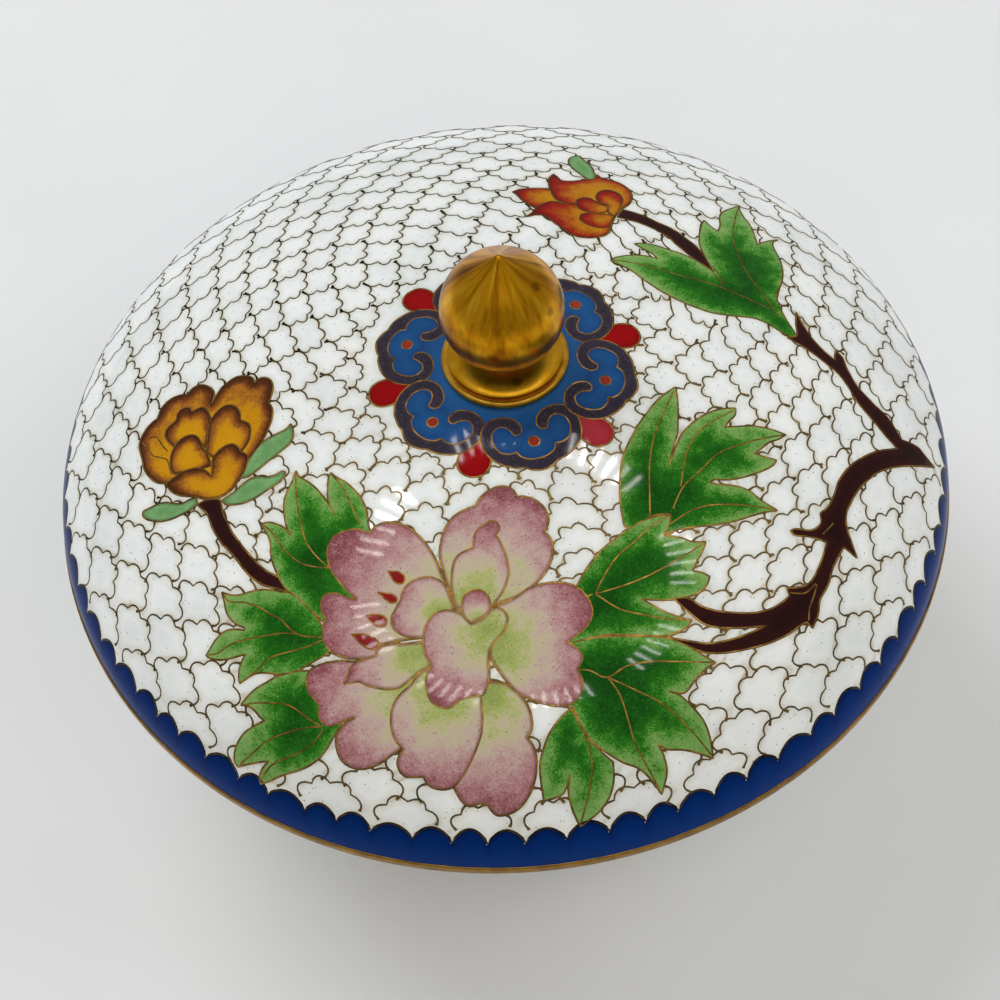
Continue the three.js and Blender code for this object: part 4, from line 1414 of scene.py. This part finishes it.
def inlayWire(name, gilt, dull, edge, sootAndShadeTone="#2A2618"):
    # gilded copper wire ground level with the enamel: a bright thread with
    # dark tarnish along both sides, duller in places, black where solder ran,
    # and darker with painted shade on the lid's dark side
    finish, tree = newFinish(name)
    where = addNode(tree, "TexCoord", gives="Object")
    across = addNode(tree, "Attribute", gives="Fac", attribute_name="across")
    # solder soot at the wire ends, and painted shade on the lid's dark side
    sootAndShade = addNode(tree, "Attribute", gives="Fac", attribute_name="sootAndShade")
    patches = addNode(tree, "TexNoise", {
        "Vector": where, "Scale": 1 / (2.2 * mm), "Detail": 3, "Roughness": 0.6})
    colour = dull
    for mask, low, high, other, otherOver in (
            (patches, 0.4, 0.62, gilt, True), (sootAndShade, 0.2, 0.85, sootAndShadeTone, True),
            (across, 0.2, 0.75, edge, False)):
        share = addNode(tree, "MapRange", {"Value": mask, "From Min": low, "From Max": high})
        under, over = (colour, other) if otherOver else (other, colour)
        colour = addNode(tree, "Mix", {0: share, 6: under, 7: over}, gives=2, data_type="RGBA")
    dust = addNode(tree, "TexNoise", {"Vector": where, "Scale": 1 / (0.6 * mm)})
    rough = addNode(tree, "Math", {0: dust, 1: 0.25, 2: 0.3}, operation="MULTIPLY_ADD")
    return closeFinish(finish, {"Base Color": colour, "Metallic": 1.0, "Roughness": rough})


def agedBrass(name, light, mid, shade):
    # turned brass with a thin brown tarnish, polished where it is handled
    finish, tree = newFinish(name)
    where = addNode(tree, "TexCoord", gives="Object")
    rings = addNode(tree, "Mapping", {"Vector": where, "Scale": (0.15, 0.15, 6)})
    clouds = addNode(tree, "TexNoise", {
        "Vector": where, "Scale": 1 / (4 * mm), "Detail": 4, "Roughness": 0.6})
    turned = addNode(tree, "TexNoise", {
        "Vector": rings, "Scale": 1 / (1.5 * mm), "Detail": 3, "Roughness": 0.6})
    value = addNode(tree, "Mix", {0: 0.3, 2: clouds, 3: turned}, data_type="FLOAT")
    colour = addNode(tree, "ValToRGB", {0: value}, [(0.3, shade), (0.5, mid), (0.72, light)])
    dust = addNode(tree, "TexNoise", {"Vector": where, "Scale": 1 / (1.2 * mm), "Detail": 3})
    rough = addNode(tree, "Math", {0: dust, 1: 0.2, 2: 0.24}, operation="MULTIPLY_ADD")
    lines = addNode(tree, "TexNoise", {"Vector": rings, "Scale": 1 / (0.4 * mm)})
    return closeFinish(finish, {
        "Base Color": colour, "Metallic": 1.0, "Roughness": rough,
        "Normal": addNode(tree, "Bump", {"Strength": 0.6, "Distance": 0.02 * mm, "Height": lines})})


def knobBrass(ballFrom=(1.9, 3.4), shadeAndGrimeFrom=(5.5, 8.4)):
    # lathe-turned yellow brass, burnished: warm golden streaks of painted
    # highlight that run from the point, fine scratches and brown spots low on
    # the ball, and painted shade under it. Heights are above the skirt's edge.
    finish, tree = newFinish("knobBrass")
    where = addNode(tree, "TexCoord", gives="Object")
    axis = addNode(tree, "Mapping", {
        "Vector": where, "Location": (-knobSpot[0] * mm, -knobSpot[1] * mm, 0)})
    flat = addNode(tree, "VectorMath", {0: axis, 1: (1, 1, 0)}, operation="MULTIPLY")
    spoke = addNode(tree, "VectorMath", {0: flat}, operation="NORMALIZE")
    up = addNode(tree, "SeparateXYZ", {0: where}, gives="Z")
    lift = addNode(tree, "CombineXYZ", {
        "Z": addNode(tree, "Math", {0: up, 1: 40}, operation="MULTIPLY")})
    streakAt = addNode(tree, "VectorMath", {0: spoke, 1: lift}, operation="ADD")
    onBall = addNode(tree, "MapRange", {
        "Value": up, "From Min": (skirtUp + ballFrom[0]) * mm,
        "From Max": (skirtUp + ballFrom[1]) * mm},
        interpolation_type="SMOOTHSTEP")
    # painted highlights: light and dark streaks from the point stand in for the lathe polish's
    # reflections on the ball
    broad = addNode(tree, "TexNoise", {"Vector": streakAt, "Scale": 3, "Detail": 3})
    thin = addNode(tree, "TexNoise", {"Vector": streakAt, "Scale": 16, "Detail": 3})
    clouds = addNode(tree, "TexNoise", {"Vector": where, "Scale": 1 / (2.5 * mm), "Detail": 4})
    highlightStreaks = addNode(tree, "Mix", {0: 0.2, 2: broad, 3: thin}, data_type="FLOAT")
    plain = addNode(tree, "Math", {0: clouds, 1: 0.4, 2: 0.42}, operation="MULTIPLY_ADD")
    value = addNode(tree, "Mix", {0: onBall, 2: plain, 3: highlightStreaks}, data_type="FLOAT")
    colour = addNode(tree, "ValToRGB", {0: value}, [
        (0.32, "#7E4C06"), (0.46, "#B87A0C"), (0.58, "#DC9C18"), (0.75, "#F2BE3C")])
    spots = addNode(tree, "TexVoronoi", {"Vector": where, "Scale": 1 / (5.5 * mm)})
    stain = addNode(tree, "MapRange", {
        "Value": spots, "From Min": 0.1, "From Max": 0.2, "To Min": 0.55, "To Max": 0})
    colour = addNode(tree, "Mix", {0: stain, 6: colour, 7: "#4A2E0E"}, gives=2, data_type="RGBA")
    # painted shade on the underside of the ball above the neck, dark and
    # hardly metallic, where polish and dirt also gather and no cloth reaches
    shadeAndGrime = addNode(tree, "MapRange", {
        "Value": up, "From Min": (skirtUp + shadeAndGrimeFrom[0]) * mm,
        "From Max": (skirtUp + shadeAndGrimeFrom[1]) * mm,
        "To Min": 1, "To Max": 0}, interpolation_type="SMOOTHSTEP")
    shadeAndGrime = addNode(tree, "Math", {0: shadeAndGrime, 1: onBall}, operation="MULTIPLY")
    colour = addNode(tree, "Mix", {0: shadeAndGrime, 6: colour, 7: "#1C0E04"}, gives=2, data_type="RGBA")
    scratch = addNode(tree, "Math", {0: thin, 1: onBall}, operation="MULTIPLY")
    return closeFinish(finish, {
        "Base Color": colour,
        "Metallic": addNode(tree, "Math", {0: shadeAndGrime, 1: -0.9, 2: 1}, operation="MULTIPLY_ADD"),
        "Roughness": addNode(tree, "Math", {0: onBall, 1: -0.08, 2: 0.37},
                             operation="MULTIPLY_ADD"),
        "Normal": addNode(tree, "Bump", {
            "Strength": 0.4, "Distance": 0.012 * mm, "Height": scratch})})


enamels = dict(
    # dusty pink at a petal's tip, lilac grey, then cream and green at its base
    petal=colouredEnamel("petalEnamel", [
        (0.0, "#8E9E50"), (0.2, "#A9B168"), (0.34, "#C0B890"), (0.48, "#C2AA9E"), (0.62, "#BA9690"),
        (0.76, "#AC7A7C"), (0.88, "#9A6064"), (1.0, "#80444A")],
        byGap=0, byReach=0.95, byRim=0.03, start=-0.04, mottle=0.62, patch=2.8, pits=0.12,
        line="#80504E", flecks="#BDB2BA"),
    # speckled: dark green at a leaf's base and middle, pale green at its tips
    leaf=colouredEnamel("leafEnamel", [
        (0.0, "#84AC62"), (0.28, "#6C984A"), (0.42, "#428526"), (0.58, "#206812"),
        (1.0, "#0C4608")],
        byGap=0.13, byReach=-0.5, start=0.5, mottle=0.9, patch=2.6, pits=0.12, flecks="#3F9028"),
    # pale green, a little deeper away from its wire
    sepal=colouredEnamel("sepalEnamel", [(0.0, "#86B07A"), (0.35, "#6E9C62"), (0.9, "#4A7A42")],
                         start=0.15, mottle=0.8, line="#4A6E40"),
    # nearly black brown, as thick translucent enamel looks
    stem=colouredEnamel("stemEnamel", [(0.0, "#32100E"), (0.3, "#200808"), (1.0, "#160404")],
                        mottle=0.4, shine=0.15),
    branch=colouredEnamel("branchEnamel", [(0.0, "#34110F"), (0.3, "#230908"), (1.0, "#180505")],
                          mottle=0.4, shine=0.15),
    # deep red, like the collar's petals
    drop=colouredEnamel("dropEnamel", [(0.0, "#8E1C1C"), (0.3, "#6B0D12"), (1.0, "#4F060B")],
                        pits=0.05),
    # amber yellow inside, shaded rust brown to each petal's edge
    bud=colouredEnamel("budEnamel", [
        (0.0, "#CC940A"), (0.42, "#C4880A"), (0.58, "#A6681C"), (0.76, "#804818"),
        (1.0, "#52280F")],
        byGap=0, byReach=0.7, byRim=0.48, mottle=0.6, patch=1.8, pits=0.1, line="#2A1408"),
    bloom=colouredEnamel("bloomEnamel", [
        (0.0, "#BC860A"), (0.36, "#B2700A"), (0.56, "#A0440A"), (0.74, "#941C0A"),
        (1.0, "#780808")],
        byGap=0, byReach=0.85, byRim=0.24, mottle=0.55, patch=1.8, pits=0.06, line="#4A1810"),
    # the collar: clear blue fields, slate violet bands, sealing-wax red
    collarBlue=colouredEnamel("collarBlueEnamel", [
        (0.0, "#184478"), (0.3, "#1D5086"), (1.0, "#285E98")]),
    collarBand=colouredEnamel("collarBandEnamel", [
        (0.0, "#3A333E"), (0.2, "#2E2834"), (1.0, "#26202C")], patch=1.2, pits=0.1,
        flecks="#625C72"),
    collarRed=colouredEnamel("collarRedEnamel", [
        (0.0, "#800004"), (0.3, "#960206"), (1.0, "#8E0004")], pits=0.05),
    collarPale=colouredEnamel("collarPaleRedEnamel", [
        (0.0, "#9E1E28"), (0.3, "#AE323E"), (1.0, "#B63E4A")], mottle=0.4, pits=0.1),
    collarEye=colouredEnamel("collarEyeEnamel", [
        (0.0, "#8A2A20"), (0.3, "#B0402A"), (1.0, "#B8482C")], pits=0.05),
)
# cobalt enamel of the scalloped edges, deep, less polished and slightly uneven
borderBlue = colouredEnamel("borderBlueEnamel", [
    (0.0, "#001A48"), (0.25, "#002766"), (1.0, "#043074")],
    patch=3.0, pits=0.1, rough=0.22, shine=0.02)
# plain blue enamel that lines the inside and the underside
liningBlue = colouredEnamel("liningBlueEnamel", [
    (0.0, "#2F7FA6"), (0.5, "#3A8CB2"), (1.0, "#4A9ABE")], mottle=0.5, patch=4.0, pits=0.16)
whiteGround = whiteEnamel()
# the scale wires' darkest tone is solder soot and painted shade on the lid's dark side
groundWire = inlayWire("groundWireGilt", "#94763E", "#6A5836", "#3A3022", sootAndShadeTone="#16140C")
pictureWire = inlayWire("pictureWireGilt", "#BC9044", "#7C5C2C", "#34261A")
borderWire = inlayWire("borderWireTarnished", "#5E4A28", "#241C12", "#0C0A08")
rimBrass = agedBrass("rimBrass", "#B98E4A", "#94702F", "#5C431F")
plateBrass = agedBrass("plateBrass", "#EDBE50", "#D6A030", "#9A6C1A")

for piece, slotName, node, *finishes in (
    (lidShell, "lid_enamel", "lid", whiteGround, liningBlue),
    (lidInlay, "lid_enamel", None, *[enamels[name] for name in inlayNames]),
    (lidScaleWires, "lid_enamel", None, groundWire),
    (lidInlayWires, "lid_enamel", None, pictureWire),
    (lidBorder, "lid_enamel", None, borderBlue),
    (lidBorderWire, "lid_enamel", None, borderWire),
    (bowlShell, "bowl_enamel", "bowl", whiteGround, liningBlue),
    (bowlMouthBand, "bowl_enamel", None, borderBlue),
    (bowlFootBand, "bowl_enamel", None, borderBlue),
    (bowlWires, "bowl_enamel", None, groundWire),
    (lidRim, "lid_rim_brass", "lid_rim", rimBrass),
    (bowlRim, "bowl_rim_brass", "bowl_rim", rimBrass),
    (footRing, "foot_brass", "foot_ring", rimBrass),
    (knobPlate, "plate_brass", "finial_plate", plateBrass),
    (knobTurned, "knob_brass", "finial", knobBrass()),
):
    coat(piece, *finishes)
    hangPiece(piece, node)


def outwardness(face):
    return face.normal.dot(Vector((face.center.x, face.center.y, 0)).normalized())


# White outside, blue lining inside, told apart by where a face looks
for face in lidShell.data.polygons:
    face.material_index = 0 if face.normal.z > 0 or outwardness(face) > 0.05 else 1
for face in bowlShell.data.polygons:
    face.material_index = 0 if outwardness(face) > 0.02 else 1
lidInlay.data.polygons.foreach_set("material_index", [inlayNames.index(k) for k in inlayKinds])

print("Table and light")
room = dict(
    tableSize=3.0,
    table=("#EAEBEB", "#EDEEEE"),
    sky="#F4F5F6",
    skyStrength=0.39,
    aim=(0, 0, 0.05),     # where the soft lights look
    # Broad soft light from the far left, the front and the right; it models
    # the form and isn't mirrored in the enamel. Name, spot, width, watts, hue.
    lights=[
        ("softWindow", (-0.7, 0.8, 1.2), 1.0, 13, "#F8FBFF"),
        ("softFill", (0.2, -0.9, 1.1), 1.2, 5, "#FFF2E2"),
        ("softSide", (1.1, 0.1, 1.0), 1.0, 4.5, "#F6FAFF"),
    ],
)


def pourTable(room):
    deselectAll()
    bpy.ops.mesh.primitive_plane_add(size=room["tableSize"])
    table = bpy.context.object
    table.name = "table"
    # matt pale table top, very slightly mottled
    finish, tree = newFinish("tableTop")
    where = addNode(tree, "TexCoord", gives="Object")
    clouds = addNode(tree, "TexNoise", {"Vector": where, "Scale": 1 / (60 * mm)})
    colour = addNode(tree, "ValToRGB", {0: clouds}, list(zip((0.3, 0.7), room["table"])))
    coat(table, closeFinish(finish, {"Base Color": colour, "Roughness": 0.6}))


def hangLight(name, spot, width, power, colour):
    deselectAll()
    bpy.ops.object.light_add(type="AREA", location=spot)
    lamp = bpy.context.object
    lamp.name = name
    lamp.data.shape = "RECTANGLE"
    lamp.data.size = lamp.data.size_y = width
    lamp.data.energy = power
    lamp.data.color = linear(colour)[:3]
    lamp.rotation_euler = (Vector(spot) - Vector(room["aim"])).to_track_quat("Z", "Y").to_euler()
    lamp.visible_glossy = False


pourTable(room)
for light in room["lights"]:
    hangLight(*light)

ring = dict(
    middle=(0.04, 0.06),
    height=1.25,
    radius=0.46,
    long=0.09,
    wide=0.008,
    lamps=80,             # places for a bar, all round
    bank=10,              # of them in one bank
    lit=6,                # of a bank
    strength=44,
)


def hangRingLamp(ring):
    # a ring of short bright bars overhead, mirrored as a ring of soft dashes
    verts, faces = [], []
    for n, k in enumerate(k for k in range(ring["lamps"]) if k % ring["bank"] < ring["lit"]):
        a = 2 * math.pi * k / ring["lamps"]
        out, side = Vector((math.cos(a), math.sin(a), 0)), Vector((-math.sin(a), math.cos(a), 0))
        spot = Vector((*ring["middle"], ring["height"])) + out * ring["radius"]
        for u, v in ((-1, -1), (-1, 1), (1, 1), (1, -1)):
            verts.append(spot + out * u * ring["long"] / 2 + side * v * ring["wide"] / 2)
        faces.append(tuple(range(4 * n, 4 * n + 4)))
    lamp = meshPiece("ringLamp", verts, faces, smooth=False)
    finish, tree = newFinish("lampGlow")
    glow = addNode(tree, "Emission", {"Color": "#FFFDF8", "Strength": ring["strength"]})
    addNode(tree, "OutputMaterial", {"Surface": glow})
    coat(lamp, finish)
    lamp.visible_diffuse = False


hangRingLamp(ring)

sky = bpy.data.worlds.new("softRoom")
bpy.context.scene.world = sky
sky.use_nodes = True
sky.node_tree.nodes.clear()
glow = addNode(sky.node_tree, "Background", {"Color": room["sky"], "Strength": room["skyStrength"]})
addNode(sky.node_tree, "OutputWorld", {"Surface": glow})
bpy.context.scene.view_settings.view_transform = "Standard"
